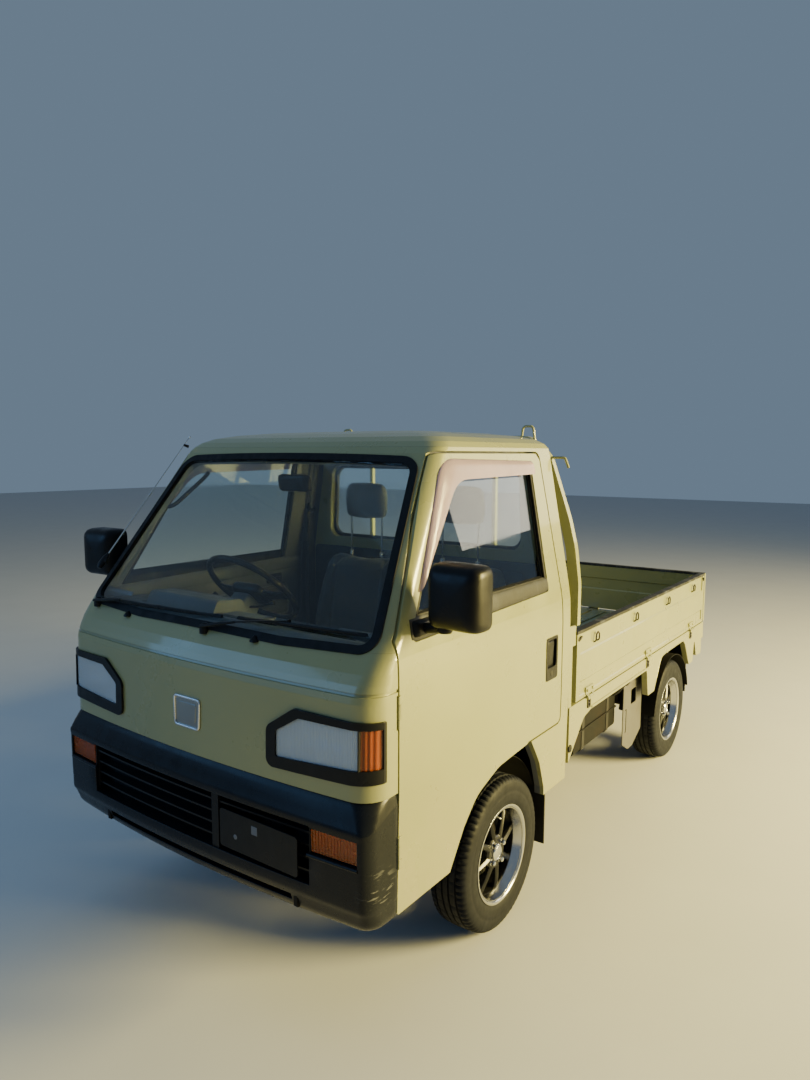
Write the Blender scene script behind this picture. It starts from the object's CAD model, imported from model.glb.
import math

import bmesh
import bpy
from mathutils import Matrix, Vector


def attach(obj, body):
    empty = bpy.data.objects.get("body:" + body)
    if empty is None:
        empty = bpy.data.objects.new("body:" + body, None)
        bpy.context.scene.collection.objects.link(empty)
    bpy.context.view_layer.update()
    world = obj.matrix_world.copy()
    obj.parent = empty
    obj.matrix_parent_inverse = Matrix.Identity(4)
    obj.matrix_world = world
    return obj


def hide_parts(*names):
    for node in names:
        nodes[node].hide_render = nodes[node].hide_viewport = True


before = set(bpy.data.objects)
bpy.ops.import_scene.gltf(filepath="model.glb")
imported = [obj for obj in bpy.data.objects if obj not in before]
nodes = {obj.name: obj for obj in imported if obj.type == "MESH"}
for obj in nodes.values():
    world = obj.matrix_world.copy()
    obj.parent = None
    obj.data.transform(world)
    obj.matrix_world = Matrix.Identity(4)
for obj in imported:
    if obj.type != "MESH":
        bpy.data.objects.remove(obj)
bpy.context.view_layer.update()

MM = 0.001
AXLE_YS = {"front": -832.0, "rear": 1068.0}
WHEEL_Z = 267.0
SIDES = (("left", 1), ("right", -1))

# The cab's skin in millimetres: the belt line's height and half width, how much the sides lean in above it,
# where the windscreen's foot lies, and the cosine and sine of the screen's slope
BELT_Z, BELT_HALF, SIDE_LEAN = 1105.0, 695.0, 0.1836
SCREEN_FOOT_Y, SCREEN_COS, SCREEN_SIN = -1565.0, 0.811, 0.585
# the middle of the scuffed patch at the bumper's left corner, in metres
SCUFF_PLACE = (0.694, -1.555, 0.49)


# Materials


class Look:
    """A node material built step by step on a Principled shader."""

    def __init__(self, name, color, roughness=0.5, metallic=0.0, **sockets):
        self.material = bpy.data.materials.new(name)
        self.material.use_nodes = True
        self.tree = self.material.node_tree
        self.shader = self.tree.nodes["Principled BSDF"]
        self.shader.inputs["Base Color"].default_value = (*color, 1)
        self.shader.inputs["Roughness"].default_value = roughness
        self.shader.inputs["Metallic"].default_value = metallic
        for socket, value in sockets.items():
            self.shader.inputs[socket.replace("_", " ")].default_value = value
        place = self.tree.nodes.new("ShaderNodeTexCoord")
        self.place = place.outputs["Object"]
        self.bump_before = None

    def fill(self, socket, value):
        """Links a node's output to a socket, or sets the socket to a plain value."""
        if hasattr(value, "links"):
            self.tree.links.new(value, socket)
        else:
            socket.default_value = value

    def node(self, kind, inputs=(), **props):
        made = self.tree.nodes.new(kind)
        for name, value in props.items():
            setattr(made, name, value)
        for name, value in dict(inputs).items():
            self.fill(made.inputs[name], value)
        return made

    def stretched(self, scale):
        """The place, scaled by a number for each axis."""
        return self.node("ShaderNodeMapping", {"Vector": self.place, "Scale": scale}).outputs["Vector"]

    def noise(self, scale, detail=4.0, roughness=0.55, place=None):
        made = self.node("ShaderNodeTexNoise", {"Vector": place or self.place, "Scale": scale,
                                                "Detail": detail, "Roughness": roughness})
        return made.outputs["Fac"]

    def cells(self, scale, feature="F1", place=None):
        made = self.node("ShaderNodeTexVoronoi", {"Vector": place or self.place, "Scale": scale},
                         feature=feature)
        return made.outputs["Distance"]

    def wave(self, scale, direction, place=None, distortion=0.0):
        made = self.node("ShaderNodeTexWave", {"Vector": place or self.place, "Scale": scale,
                                               "Distortion": distortion}, bands_direction=direction)
        return made.outputs["Fac"]

    def span(self, value, low, high, out_low=0.0, out_high=1.0):
        made = self.node("ShaderNodeMapRange", {"Value": value, "From Min": low, "From Max": high,
                                                "To Min": out_low, "To Max": out_high})
        return made.outputs["Result"]

    def math(self, operation, first, second=0.0):
        return self.node("ShaderNodeMath", {0: first, 1: second}, operation=operation).outputs[0]

    def times(self, first, second):
        return self.math("MULTIPLY", first, second)

    def minus(self, first, second):
        return self.math("SUBTRACT", first, second)

    def height(self):
        """How high a point of the piece stands, in metres."""
        return self.node("ShaderNodeSeparateXYZ", {"Vector": self.place}).outputs["Z"]

    def mix(self, factor, first, second):
        """The first colour where the factor is 0, the second where it is 1."""
        made = self.node("ShaderNodeMix", data_type="RGBA")
        self.fill(made.inputs["Factor"], factor)
        colors = [socket for socket in made.inputs if socket.type == "RGBA"]
        for socket, value in zip(colors, (first, second)):
            self.fill(socket, value if hasattr(value, "links") else (*value, 1))
        return [socket for socket in made.outputs if socket.type == "RGBA"][0]

    def color(self, value):
        self.tree.links.new(value, self.shader.inputs["Base Color"])

    def roughness(self, value):
        self.tree.links.new(value, self.shader.inputs["Roughness"])

    def bump(self, height, strength, distance=0.001):
        inputs = {"Height": height, "Strength": strength, "Distance": distance}
        if self.bump_before is not None:
            inputs["Normal"] = self.bump_before
        self.bump_before = self.node("ShaderNodeBump", inputs).outputs["Normal"]
        self.tree.links.new(self.bump_before, self.shader.inputs["Normal"])

    def soft_edges(self, radius):
        """Rounds the shading at sharp edges, as a pressing's folds catch the light."""
        self.bump_before = self.node("ShaderNodeBevel", {"Radius": radius}, samples=4).outputs["Normal"]
        self.tree.links.new(self.bump_before, self.shader.inputs["Normal"])


def shade(color, amount):
    """A colour made lighter or darker."""
    return tuple(min(1.0, max(0.0, part * amount)) for part in color)


def behind_skin(look):
    """1 where a point lies behind the cab's outer skin, on the side that the seats see."""
    x, y, z = look.node("ShaderNodeSeparateXYZ", {"Vector": look.place}).outputs
    over_belt = look.minus(z, BELT_Z * MM)
    lean = look.times(look.math("MAXIMUM", over_belt, 0.0), SIDE_LEAN)
    from_side = look.minus(look.minus(BELT_HALF * MM, lean), look.math("ABSOLUTE", x))
    from_screen = look.minus(look.times(look.minus(y, SCREEN_FOOT_Y * MM), SCREEN_COS),
                             look.times(over_belt, SCREEN_SIN))
    inside = look.times(look.span(from_side, 0.0185, 0.0205), look.span(from_screen, 0.036, 0.040))
    under_roof = look.span(z, 1.664, 1.658)
    ahead_of_wall = look.span(y, -0.366, -0.371)
    return look.times(look.times(inside, under_roof), ahead_of_wall)


def paint(name, color, worn=0.0, edge=0.0025, inner=None):
    """Gloss enamel with road dust low down, faint fading, and scratches where it is worn."""
    look = Look(name, color, 0.3, Coat_Weight=0.6, Coat_Roughness=0.06)
    look.soft_edges(edge)
    fade = look.mix(look.span(look.noise(1.7, 3), 0.35, 0.7), shade(color, 0.95), shade(color, 1.05))
    speck = look.span(look.noise(160, 6, 0.7), 0.62, 0.75)
    fade = look.mix(look.times(speck, 0.12), fade, shade(color, 0.7))
    dust = look.times(look.span(look.height(), 0.75, 0.33), look.span(look.noise(9, 6, 0.65), 0.3, 0.75))
    fade = look.mix(look.times(dust, 0.55), fade, (0.33, 0.27, 0.19))
    streak = look.noise(30, 4, 0.6, look.stretched((1.0, 1.0, 0.08)))
    fade = look.mix(look.times(look.span(streak, 0.62, 0.8), 0.10), fade, shade(color, 0.62))
    rough = look.span(look.noise(6, 5), 0.3, 0.75, 0.24, 0.42)
    if worn:
        scratch = look.noise(55, 8, 0.75, look.stretched((1.0, 0.15, 1.0)))
        patch = look.times(look.span(scratch, 0.55, 0.66), look.span(look.noise(7, 4), 0.42, 0.6))
        fade = look.mix(look.times(patch, worn), fade, (0.17, 0.16, 0.15))
        rust = look.span(look.noise(24, 7, 0.7), 0.68, 0.74)
        fade = look.mix(look.times(rust, worn), fade, (0.16, 0.06, 0.025))
        rough = look.math("ADD", rough, look.times(patch, 0.3))
    if inner is not None:
        inside = behind_skin(look)
        fade = look.mix(inside, fade, inner)
        rough = look.math("MAXIMUM", rough, look.times(inside, 0.6))
    look.color(fade)
    look.roughness(rough)
    look.bump(look.noise(420, 2), 0.03, 0.0004)
    return look.material


def bumper_look():
    """Moulded black plastic with a satin gloss, and light scuffs round its left corner."""
    color = (0.005, 0.006, 0.009)
    look = Look("bumper_plastic", color, 0.3, Specular_IOR_Level=0.2)
    look.soft_edges(0.0025)
    bloom = look.span(look.noise(3.5, 6, 0.65), 0.42, 0.75, 0.0, 0.2)
    tone = look.mix(bloom, color, (0.020, 0.022, 0.026))
    near = look.node("ShaderNodeVectorMath", {0: look.place, 1: SCUFF_PLACE},
                     operation="DISTANCE").outputs["Value"]
    strokes = look.span(look.noise(34, 3, 0.5, look.stretched((0.5, 0.5, 3.4))), 0.60, 0.615)
    scuff = look.times(look.span(near, 0.075, 0.03), strokes)
    tone = look.mix(look.times(scuff, 0.35), tone, (0.22, 0.22, 0.22))
    look.color(tone)
    look.roughness(look.span(look.noise(16, 5), 0.3, 0.7, 0.22, 0.34))
    look.bump(look.cells(1300), 0.07, 0.0003)
    return look.material


def plastic(name, color, roughness=0.55, grain=900.0, dusty=0.25, edge=0.0015):
    """Moulded plastic with a fine grain, scuffs and a film of dust."""
    look = Look(name, color, roughness, Specular_IOR_Level=0.2)
    look.soft_edges(edge)
    scuff = look.span(look.noise(14, 7, 0.7, look.stretched((1, 1, 0.4))), 0.52, 0.78)
    tone = look.mix(look.times(scuff, dusty), color, (0.11, 0.115, 0.135))
    look.color(tone)
    look.roughness(look.span(look.noise(22, 5), 0.3, 0.7, roughness - 0.1, roughness + 0.12))
    look.bump(look.cells(grain), 0.18, 0.0004)
    return look.material


def rubber(name, color=(0.008, 0.008, 0.009), roughness=0.6):
    look = Look(name, color, roughness, Specular_IOR_Level=0.22)
    look.soft_edges(0.0015)
    tone = look.mix(look.span(look.noise(12, 6, 0.7), 0.5, 0.8, 0.0, 0.25), color, (0.016, 0.018, 0.034))
    look.color(tone)
    look.roughness(look.span(look.noise(30, 5), 0.3, 0.7, roughness - 0.1, roughness + 0.15))
    look.bump(look.noise(700, 3), 0.12, 0.0005)
    return look.material


def steel(name, color, roughness=0.42, rust=0.5, metallic=0.85, gloss=0.5):
    """Bare or thinly painted steel with rust blooming from its low spots."""
    look = Look(name, color, roughness, metallic, Specular_IOR_Level=gloss)
    look.soft_edges(0.001)
    bloom = look.span(look.noise(9, 9, 0.72), 0.5, 0.68)
    fine = look.span(look.noise(90, 6, 0.7), 0.45, 0.7)
    mask = look.times(look.times(bloom, fine), rust)
    look.color(look.mix(mask, look.mix(look.span(look.noise(4), 0.3, 0.7), shade(color, 0.8), color),
                        (0.13, 0.052, 0.02)))
    look.roughness(look.math("ADD", look.times(mask, 0.4), roughness))
    look.tree.links.new(look.minus(metallic, look.times(mask, metallic)),
                        look.shader.inputs["Metallic"])
    look.bump(look.noise(260, 5), 0.15, 0.0006)
    return look.material


def glass_look():
    look = Look("window_glass", (0.86, 0.93, 0.91), 0.01, IOR=1.45, Transmission_Weight=1.0)
    look.roughness(look.span(look.noise(3, 5, 0.6), 0.45, 0.8, 0.01, 0.07))
    return look.material


def lamp_look(name, color, flute=260.0, clearness=0.85):
    """Lamp plastic with upright flutes, partly clear."""
    look = Look(name, color, 0.14, IOR=1.49, Transmission_Weight=clearness)
    look.roughness(look.span(look.noise(9, 4), 0.3, 0.7, 0.10, 0.22))
    look.bump(look.wave(flute, "X"), 0.6, 0.003)
    return look.material


def cloth(name, color):
    """Seat cloth with a plain weave and soft creases."""
    look = Look(name, color, 0.85, Sheen_Weight=0.4, Sheen_Roughness=0.5)
    weave = look.times(look.wave(210, "X", distortion=0.6), look.wave(210, "Z", distortion=0.6))
    look.color(look.mix(look.span(weave, 0.1, 0.8), shade(color, 0.75), shade(color, 1.15)))
    look.bump(weave, 0.5, 0.0008)
    look.bump(look.noise(18, 4), 0.15, 0.004)
    return look.material


def visor_look():
    look = Look("lilac_visor", (0.52, 0.40, 0.50), 0.12, IOR=1.45, Transmission_Weight=0.55)
    look.color(look.mix(look.span(look.noise(5, 4), 0.3, 0.7), (0.50, 0.38, 0.47), (0.60, 0.46, 0.56)))
    look.roughness(look.span(look.noise(30, 5), 0.3, 0.8, 0.10, 0.3))
    return look.material


OLIVE = (0.246, 0.250, 0.108)
CAB_GREY = (0.10, 0.107, 0.122)
PAINT = paint("olive_paint", OLIVE)
CAB_PAINT = paint("cab_paint", OLIVE, inner=CAB_GREY)
BED_PAINT = paint("worn_bed_paint", shade(OLIVE, 0.72), worn=0.8)
GUARD_PAINT = paint("guard_paint", OLIVE, worn=0.15)
CHASSIS = steel("chassis_black", (0.006, 0.006, 0.006), 0.6, 0.2, 0.0, 0.15)
BARE_STEEL = steel("bare_steel", (0.16, 0.155, 0.15), 0.45, 0.5, 0.6)
BLACK = plastic("black_plastic", (0.006, 0.006, 0.007), 0.36, 900, 0.06)
BLACK_FINE = plastic("black_trim", (0.007, 0.007, 0.008), 0.36, 1500, 0.05, 0.0008)
BELT_TRIM = plastic("faded_trim", (0.028, 0.028, 0.029), 0.5, 900, 0.5)
GREY = plastic("grey_plastic", (0.125, 0.135, 0.155), 0.6, 700, 0.12)
BUMPER_LOOK = bumper_look()
SATIN = steel("satin_plate", (0.34, 0.35, 0.34), 0.36, 0.05, 1.0)
REAR_TRIM = plastic("rear_trim", (0.040, 0.046, 0.062), 0.75, 500, 0.06)
RUBBER = rubber("seal_rubber")
TYRE = rubber("tyre_rubber", (0.005, 0.006, 0.011), 0.6)
ALLOY = steel("dark_alloy", (0.014, 0.014, 0.015), 0.26, 0.0, 0.25)
DARK_STEEL = steel("dark_steel", (0.03, 0.03, 0.031), 0.5, 0.4, 0.3, 0.3)
BRUSHED = steel("dull_plating", (0.50, 0.50, 0.50), 0.3, 0.15, 1.0)
CHROME = steel("chrome", (0.78, 0.78, 0.79), 0.12, 0.04, 1.0)
POLISHED = steel("polished_lip", (0.62, 0.62, 0.63), 0.2, 0.02, 1.0)
REFLECTOR = steel("reflector_bowl", (0.86, 0.87, 0.88), 0.08, 0.0, 1.0)
MIRROR = steel("mirror_glass", (0.72, 0.76, 0.78), 0.02, 0.0, 1.0)
WORN_RAIL = plastic("worn_rail", (0.020, 0.020, 0.019), 0.55, 300, 0.9, 0.001)
LINER = plastic("lining", (0.30, 0.31, 0.30), 0.8, 500, 0.1)
CARPET = plastic("deck_carpet", (0.05, 0.052, 0.055), 0.95, 380, 0.2)
WEBBING = plastic("belt_webbing", (0.045, 0.046, 0.05), 0.7, 300, 0.1)
GLASS = glass_look()
LENS = lamp_look("clear_lens", (0.80, 0.88, 0.96), 62.0, 0.55)
AMBER = lamp_look("amber_lens", (0.80, 0.15, 0.008), 30.0, 0.75)
RED = lamp_look("red_lens", (0.55, 0.02, 0.015), 30.0)
CLEAR_LENS = lamp_look("white_lens", (0.85, 0.87, 0.88), 30.0)
CLOTH = cloth("seat_cloth", (0.115, 0.124, 0.145))
VISOR = visor_look()

NODE_LOOKS = {"chassis_frame": CHASSIS, "cab_floor": CHASSIS, "nose_panel": PAINT, "cab_frame": CAB_PAINT,
              "roof_panel": CAB_PAINT, "cab_rear_wall": PAINT, "window_glass": GLASS,
              "glass_seals": RUBBER, "front_bumper": BLACK, "grille": BLACK_FINE,
              "headlamp_bezels": BLACK_FINE, "headlamps": LENS, "headlamp_bowls": REFLECTOR,
              "turn_lamps": AMBER, "wipers": BLACK_FINE, "dashboard": GREY, "steering_wheel": BLACK_FINE,
              "seats": CLOTH, "front_suspension": CHASSIS, "engine_block": BARE_STEEL,
              "rear_axle": CHASSIS, "fuel_tank": CHASSIS, "side_carrier": BARE_STEEL,
              "exhaust": BARE_STEEL, "mudflaps": RUBBER, "bed_floor": BED_PAINT, "bed_skirts": PAINT,
              "guard_frame": GUARD_PAINT, "tail_lamps": RED, "tailgate": PAINT, "door_panel": CAB_PAINT,
              "door_glass": GLASS, "door_trim": BLACK_FINE, "door_mirror": BLACK_FINE, "side_gate": PAINT,
              "knuckle": CHASSIS, "tyre": TYRE, "rim": ALLOY, }


def dress_nodes():
    """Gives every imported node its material."""
    for name, piece in nodes.items():
        base = name
        for ending in ("_left", "_right", "_front", "_rear"):
            base = base.removesuffix(ending)
        piece.data.materials.clear()
        piece.data.materials.append(NODE_LOOKS[base])


dress_nodes()


# Mesh building, in millimetres in the truck's frame


class Shape:
    """A mesh put together from solids, in millimetres."""

    def __init__(self):
        self.mesh = bmesh.new()

    def add(self, verts, faces):
        made = [self.mesh.verts.new(Vector(v)) for v in verts]
        for face in faces:
            try:
                self.mesh.faces.new([made[i] for i in face])
            except ValueError:
                pass
        return made

    def rings(self, rings, closed_ends=True, loop=False):
        """A skin through rings of points, each with the same count."""
        count = len(rings[0])
        verts = [point for ring in rings for point in ring]
        faces = []
        steps = len(rings) if loop else len(rings) - 1
        for i in range(steps):
            a = i * count
            b = ((i + 1) % len(rings)) * count
            for j in range(count):
                k = (j + 1) % count
                faces.append((a + j, a + k, b + k, b + j))
        if closed_ends and not loop:
            faces.append(tuple(range(count))[::-1])
            faces.append(tuple(range(len(verts) - count, len(verts))))
        return self.add(verts, faces)

    def box(self, x0, x1, y0, y1, z0, z1, turn=None):
        """A box, turned about its own middle if a matrix is given."""
        middle = Vector(((x0 + x1) / 2, (y0 + y1) / 2, (z0 + z1) / 2))
        corners = [Vector((x, y, z)) for z in (z0, z1) for x, y in ((x0, y0), (x1, y0), (x1, y1), (x0, y1))]
        if turn is not None:
            corners = [middle + turn @ (corner - middle) for corner in corners]
        self.add(corners, [(3, 2, 1, 0), (4, 5, 6, 7), (0, 1, 5, 4), (1, 2, 6, 5), (2, 3, 7, 6),
                           (3, 0, 4, 7)])

    def stack(self, rows, axis):
        """A skin through flat outlines, each at its own level along an axis."""
        self.rings([[lifted(point, axis, level) for point in outline] for level, outline in rows])

    def prism(self, outline, axis, levels):
        """One flat outline at levels along an axis; its points lie in the other two, in X, Y, Z order."""
        self.stack([(level, outline) for level in levels], axis)

    def tube(self, points, radius, sides=10, flat=1.0, loop=False):
        """A round or flattened bar along a line of points."""
        points = [Vector(point) for point in points]
        count = len(points)
        across = None
        rings = []
        for i, point in enumerate(points):
            after = points[(i + 1) % count] if loop or i + 1 < count else point
            before = points[i - 1] if loop or i > 0 else point
            along = (after - before).normalized()
            if across is None:
                up = Vector((0, 0, 1)) if abs(along.z) < 0.9 else Vector((0, 1, 0))
                across = along.cross(up).normalized()
            across = (across - along * across.dot(along)).normalized()
            third = along.cross(across)
            size = spread(radius, i / (count - 1)) if isinstance(radius, (list, tuple)) else radius
            rings.append([point + across * (size * math.cos(t)) + third * (size * flat * math.sin(t))
                          for t in (2 * math.pi * k / sides for k in range(sides))])
        self.rings(rings, loop=loop)

    def lathe(self, profile, centre, axis="X", segments=48, start=0.0, sweep=360.0):
        """A profile of (along, radius) points turned about an axis."""
        centre = Vector(centre)
        index = "XYZ".index(axis)
        others = [i for i in range(3) if i != index]
        closed = sweep >= 360.0
        rings = []
        for step in range(segments if closed else segments + 1):
            turn = math.radians(start + sweep * step / segments)
            ring = []
            for along, radius in profile:
                point = [0.0, 0.0, 0.0]
                point[index] = along
                point[others[0]] = radius * math.cos(turn)
                point[others[1]] = radius * math.sin(turn)
                ring.append(centre + Vector(point))
            rings.append(ring)
        self.rings(rings, closed_ends=not closed, loop=closed)

    def piece(self, name, look, body, side=1, bevel=0.0, smooth=35.0, levels=0, segments=2):
        """Makes the object: mirrored for the right side, bevelled, smoothed and riding on its body."""
        if side < 0:
            for vert in self.mesh.verts:
                vert.co.x = -vert.co.x
        bmesh.ops.remove_doubles(self.mesh, verts=self.mesh.verts, dist=0.01)
        bmesh.ops.recalc_face_normals(self.mesh, faces=self.mesh.faces)
        bmesh.ops.scale(self.mesh, vec=(MM, MM, MM), verts=self.mesh.verts)
        data = bpy.data.meshes.new(name)
        self.mesh.to_mesh(data)
        self.mesh.free()
        made = placed(name, data)
        data.materials.append(look)
        if bevel:
            edge = made.modifiers.new("bevel", "BEVEL")
            edge.width = bevel * MM
            edge.segments = segments
            edge.limit_method = "ANGLE"
            edge.angle_limit = math.radians(30)
            edge.harden_normals = False
        if levels:
            finer = made.modifiers.new("finer", "SUBSURF")
            finer.levels = levels
            finer.render_levels = levels
        if smooth:
            smooth_by_angle(made, smooth)
        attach(made, body)
        return made


def placed(name, data):
    """A new object in the scene."""
    made = bpy.data.objects.new(name, data)
    bpy.context.scene.collection.objects.link(made)
    return made


def lifted(point, axis, level):
    """A flat point set at a level along an axis."""
    place = list(point)
    place.insert("XYZ".index(axis), level)
    return Vector(place)


def spread(values, share):
    """The value at a share of the way through a list, straight between its entries."""
    place = share * (len(values) - 1)
    low = min(int(place), len(values) - 2)
    return values[low] + (values[low + 1] - values[low]) * (place - low)


def smooth_by_angle(piece, angle):
    """Smooth shading, with edges sharper than the angle kept."""
    for face in piece.data.polygons:
        face.use_smooth = True
    piece.data.set_sharp_from_angle(angle=math.radians(angle))


def bend(before, corner, after, radius, steps):
    """The points of a rounded corner, which starts halfway along each edge at the most."""
    start, end = (corner + (other - corner).normalized() * min(radius, (other - corner).length / 2)
                  for other in (before, after))
    shares = [step / steps for step in range(steps + 1)]
    return [start * (1 - t) ** 2 + corner * 2 * t * (1 - t) + end * t ** 2 for t in shares]


def rounded(points, radius, steps=4):
    """A line of points with its inner corners rounded off."""
    points = [Vector(point) for point in points]
    line = [points[0]]
    for before, corner, after in zip(points, points[1:], points[2:]):
        line.extend(bend(before, corner, after, radius, steps))
    return line + [points[-1]]


def soft_outline(points, radii, steps=5):
    """A closed outline with rounded corners, all of one radius or each of its own, as (u, v) points."""
    points = [Vector(point) for point in points]
    if not isinstance(radii, (list, tuple)):
        radii = [radii] * len(points)
    line = []
    for i, corner in enumerate(points):
        line.extend(bend(points[i - 1], corner, points[(i + 1) % len(points)], radii[i], steps))
    return [(point.x, point.y) for point in line]


def corners(x0, x1, z0, z1, radius, steps=4):
    """A rounded rectangle as (u, v) points."""
    return soft_outline(((x0, z0), (x1, z0), (x1, z1), (x0, z1)), radius, steps)


def shrinking(sides, radius, steps, rows):
    """Rounded rectangles for a stack, each at its level and drawn in by a distance."""
    x0, x1, z0, z1 = sides
    return [(level, corners(x0 + by, x1 - by, z0 + by, z1 - by, radius, steps)) for level, by in rows]


def scaled(outline, middle, size):
    """An outline made larger or smaller about a point."""
    return [(middle[0] + (u - middle[0]) * size, middle[1] + (v - middle[1]) * size) for u, v in outline]


# Wheels


TYRE_MIDDLE_X = 608.0
TREAD_STEPS = 216
# distance from the tyre's middle and radius, over one sidewall and then across the tread
SIDEWALL = ((63, 156.5), (63, 163), (66, 171), (69.5, 178), (72, 190), (72.8, 204), (73, 212), (72.6, 214),
            (72.6, 222), (73, 224), (72.4, 236), (70.5, 246), (67.5, 254), (62, 260.5), (55, 264.2))
HALF_CROWN = ((47, 265.6), (43, 266.2), (42, 259.5), (36, 259.5), (35, 266.7), (16, 267), (15, 260),
              (9, 260), (8, 267))
SPOKE_COUNT, SPOKE_START = 8, 12
# radius, half width, front face and depth along a spoke
SPOKE_ROWS = ((44, 13.5, 652, 20), (62, 11.5, 652, 19), (100, 9.0, 647, 17), (136, 11.0, 641, 14),
              (150, 17.0, 637, 10))
NUT_COUNT, NUT_START, NUT_RADIUS = 4, 34.5, 41.5
VALVE_TURN = 100


def round_axle(x, y, radius, turn, across=0.0):
    """A point at a radius and a turn round an axle, moved across that spoke."""
    return Vector((x, y + radius * math.cos(turn) - across * math.sin(turn),
                   WHEEL_Z + radius * math.sin(turn) + across * math.cos(turn)))


def mirrored(points):
    return [(-along, radius) for along, radius in points[::-1]]


def tyre_piece(name, body, side, y):
    """The tyre with its tread blocks, grooves and plain sidewall rings."""
    half = [*SIDEWALL, *HALF_CROWN]
    profile = half + mirrored(half)
    rings = []
    for step in range(TREAD_STEPS):
        turn = 2 * math.pi * step / TREAD_STEPS
        shoulder_groove = step % 3 == 0
        ring = []
        for along, radius in profile:
            if abs(along) >= 42 and radius > 250 and shoulder_groove:
                radius -= 5.5 if radius > 258 else 3.0
            elif abs(along) <= 36 and radius > 262 and (step + (1 if along > 0 else 2)) % 6 == 0:
                radius -= 2.5
            ring.append(round_axle(TYRE_MIDDLE_X + along, y, radius, turn))
        rings.append(ring)
    shape = Shape()
    shape.rings(rings, closed_ends=False, loop=True)
    return shape.piece(name, TYRE, body, side, smooth=28)


def rim_pieces(wheel, body, side, y):
    """The wheel: polished lip, dark barrel, eight ridged spokes, nuts and a capped hub."""
    centre = (0, y, WHEEL_Z)
    lip = Shape()
    lip.lathe([(671.5, 157), (672, 168), (674.5, 171.4), (677.4, 171), (678.2, 168), (677, 164),
               (674, 160.5), (668, 157.5), (652, 155.5), (640, 153), (636, 148.5), (640, 146.5),
               (650, 150)], centre, segments=96)
    lip_piece = lip.piece(f"rim_lip_{wheel}", POLISHED, body, side, smooth=40)
    barrel = Shape()
    barrel.lathe([(538.5, 171), (540, 168), (545, 158), (560, 152), (600, 147), (636, 146.5), (636, 149.5),
                  (604, 151), (582, 156), (545.5, 157.2), (544.5, 170)], centre, segments=72)
    barrel.piece(f"rim_barrel_{wheel}", ALLOY, body, side, smooth=40)
    spokes = Shape()
    for index in range(SPOKE_COUNT):
        turn = math.radians(index * 360 / SPOKE_COUNT + SPOKE_START)
        rings = []
        for radius, width, front, deep in SPOKE_ROWS:
            ridge = ((-width, front - deep), (-width, front - 5), (-width * 0.45, front), (0, front + 2.5),
                     (width * 0.45, front), (width, front - 5), (width, front - deep))
            rings.append([round_axle(along, y, radius, turn, across) for across, along in ridge])
        spokes.rings(rings)
    spokes.lathe([(604, 15.4), (604, 56), (630, 60), (646, 58), (652, 52), (652, 30), (646, 15.4)], centre,
                 segments=48)
    spokes.piece(f"rim_spokes_{wheel}", ALLOY, body, side, smooth=35, bevel=1.0)
    cap = Shape()
    cap.lathe([(650, 1), (650, 29), (656, 29), (659, 26), (660.5, 22), (658.5, 20), (659.5, 12), (660, 1)],
              centre, segments=40)
    for index in range(NUT_COUNT):
        turn = math.radians(index * 360 / NUT_COUNT + NUT_START)
        cap.lathe([(649, 0.5), (649, 11), (652.5, 11), (653, 9), (663, 9), (666, 6.5), (667, 0.5)],
                  round_axle(0, y, NUT_RADIUS, turn), segments=6)
    turn = math.radians(VALVE_TURN)
    cap.tube([round_axle(x, y, radius, turn) for x, radius in ((646, 150), (664, 146), (680, 142))],
             [3.2, 3.0, 3.4], 8)
    cap.piece(f"rim_cap_{wheel}", CHROME, body, side, smooth=30)
    return lip_piece


def wheels():
    for side_name, side in SIDES:
        for place, y in AXLE_YS.items():
            wheel = f"{place}_{side_name}"
            body = f"wheel_{wheel}"
            tyre = tyre_piece(f"tread_tyre_{wheel}", body, side, y)
            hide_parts(f"tyre_{wheel}")
            lip = rim_pieces(wheel, body, side, y)
            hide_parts(f"rim_{wheel}")


# The cab's skin, for what is fastened to it

NOSE_ROWS = ((735, -1628), (1000, -1622), (1018, -1617.5), (1045, -1604), (1072, -1588.5), (1105, -1565),
             (1150, -1532.5))
SIDE_ROWS = ((378, 690.2), (735, 697), (1000, 697), (1045, 696.5), (1072, 695.7), (1105, 694),
             (1150, 687.5), (1655, 593))
SCREEN_LEAN = math.atan2(397.0, 550.0)


def between(rows, level):
    """The value at a level, straight between the rows of a table."""
    for (low, first), (high, second) in zip(rows, rows[1:]):
        if level <= high:
            return first + (second - first) * (level - low) / (high - low)
    return rows[-1][1]


def bowed(x, half=617.0, bow=30.0):
    """How far the bowed front falls back at a distance from the middle."""
    radius = (half ** 2 + bow ** 2) / (2 * bow)
    return radius - math.sqrt(radius ** 2 - x ** 2)


def on_nose(x, z, out=0.0):
    """A point over the front of the cab."""
    return Vector((x, between(NOSE_ROWS, z) + bowed(x) - out, z))


def on_side(y, z, out=0.0):
    """A point over the left side of the cab."""
    return Vector((between(SIDE_ROWS, z) + out, y, z))


def on_screen(x, along, out=0.0):
    """A point over the windscreen: across, up along the glass and off it."""
    drop = bowed(x, 640 * (1 - along / 1700), 29)
    return Vector((x, SCREEN_FOOT_Y + along * math.sin(SCREEN_LEAN) - out * math.cos(SCREEN_LEAN) + drop,
                   BELT_Z + along * math.cos(SCREEN_LEAN) + out * math.sin(SCREEN_LEAN)))


def skin_piece(shape, outline, place, low, high):
    """A plate with rounded outline lying on a skin, from one height over it to another."""
    shape.rings([[place(u, v, low) for u, v in outline], [place(u, v, high) for u, v in outline]])


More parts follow.
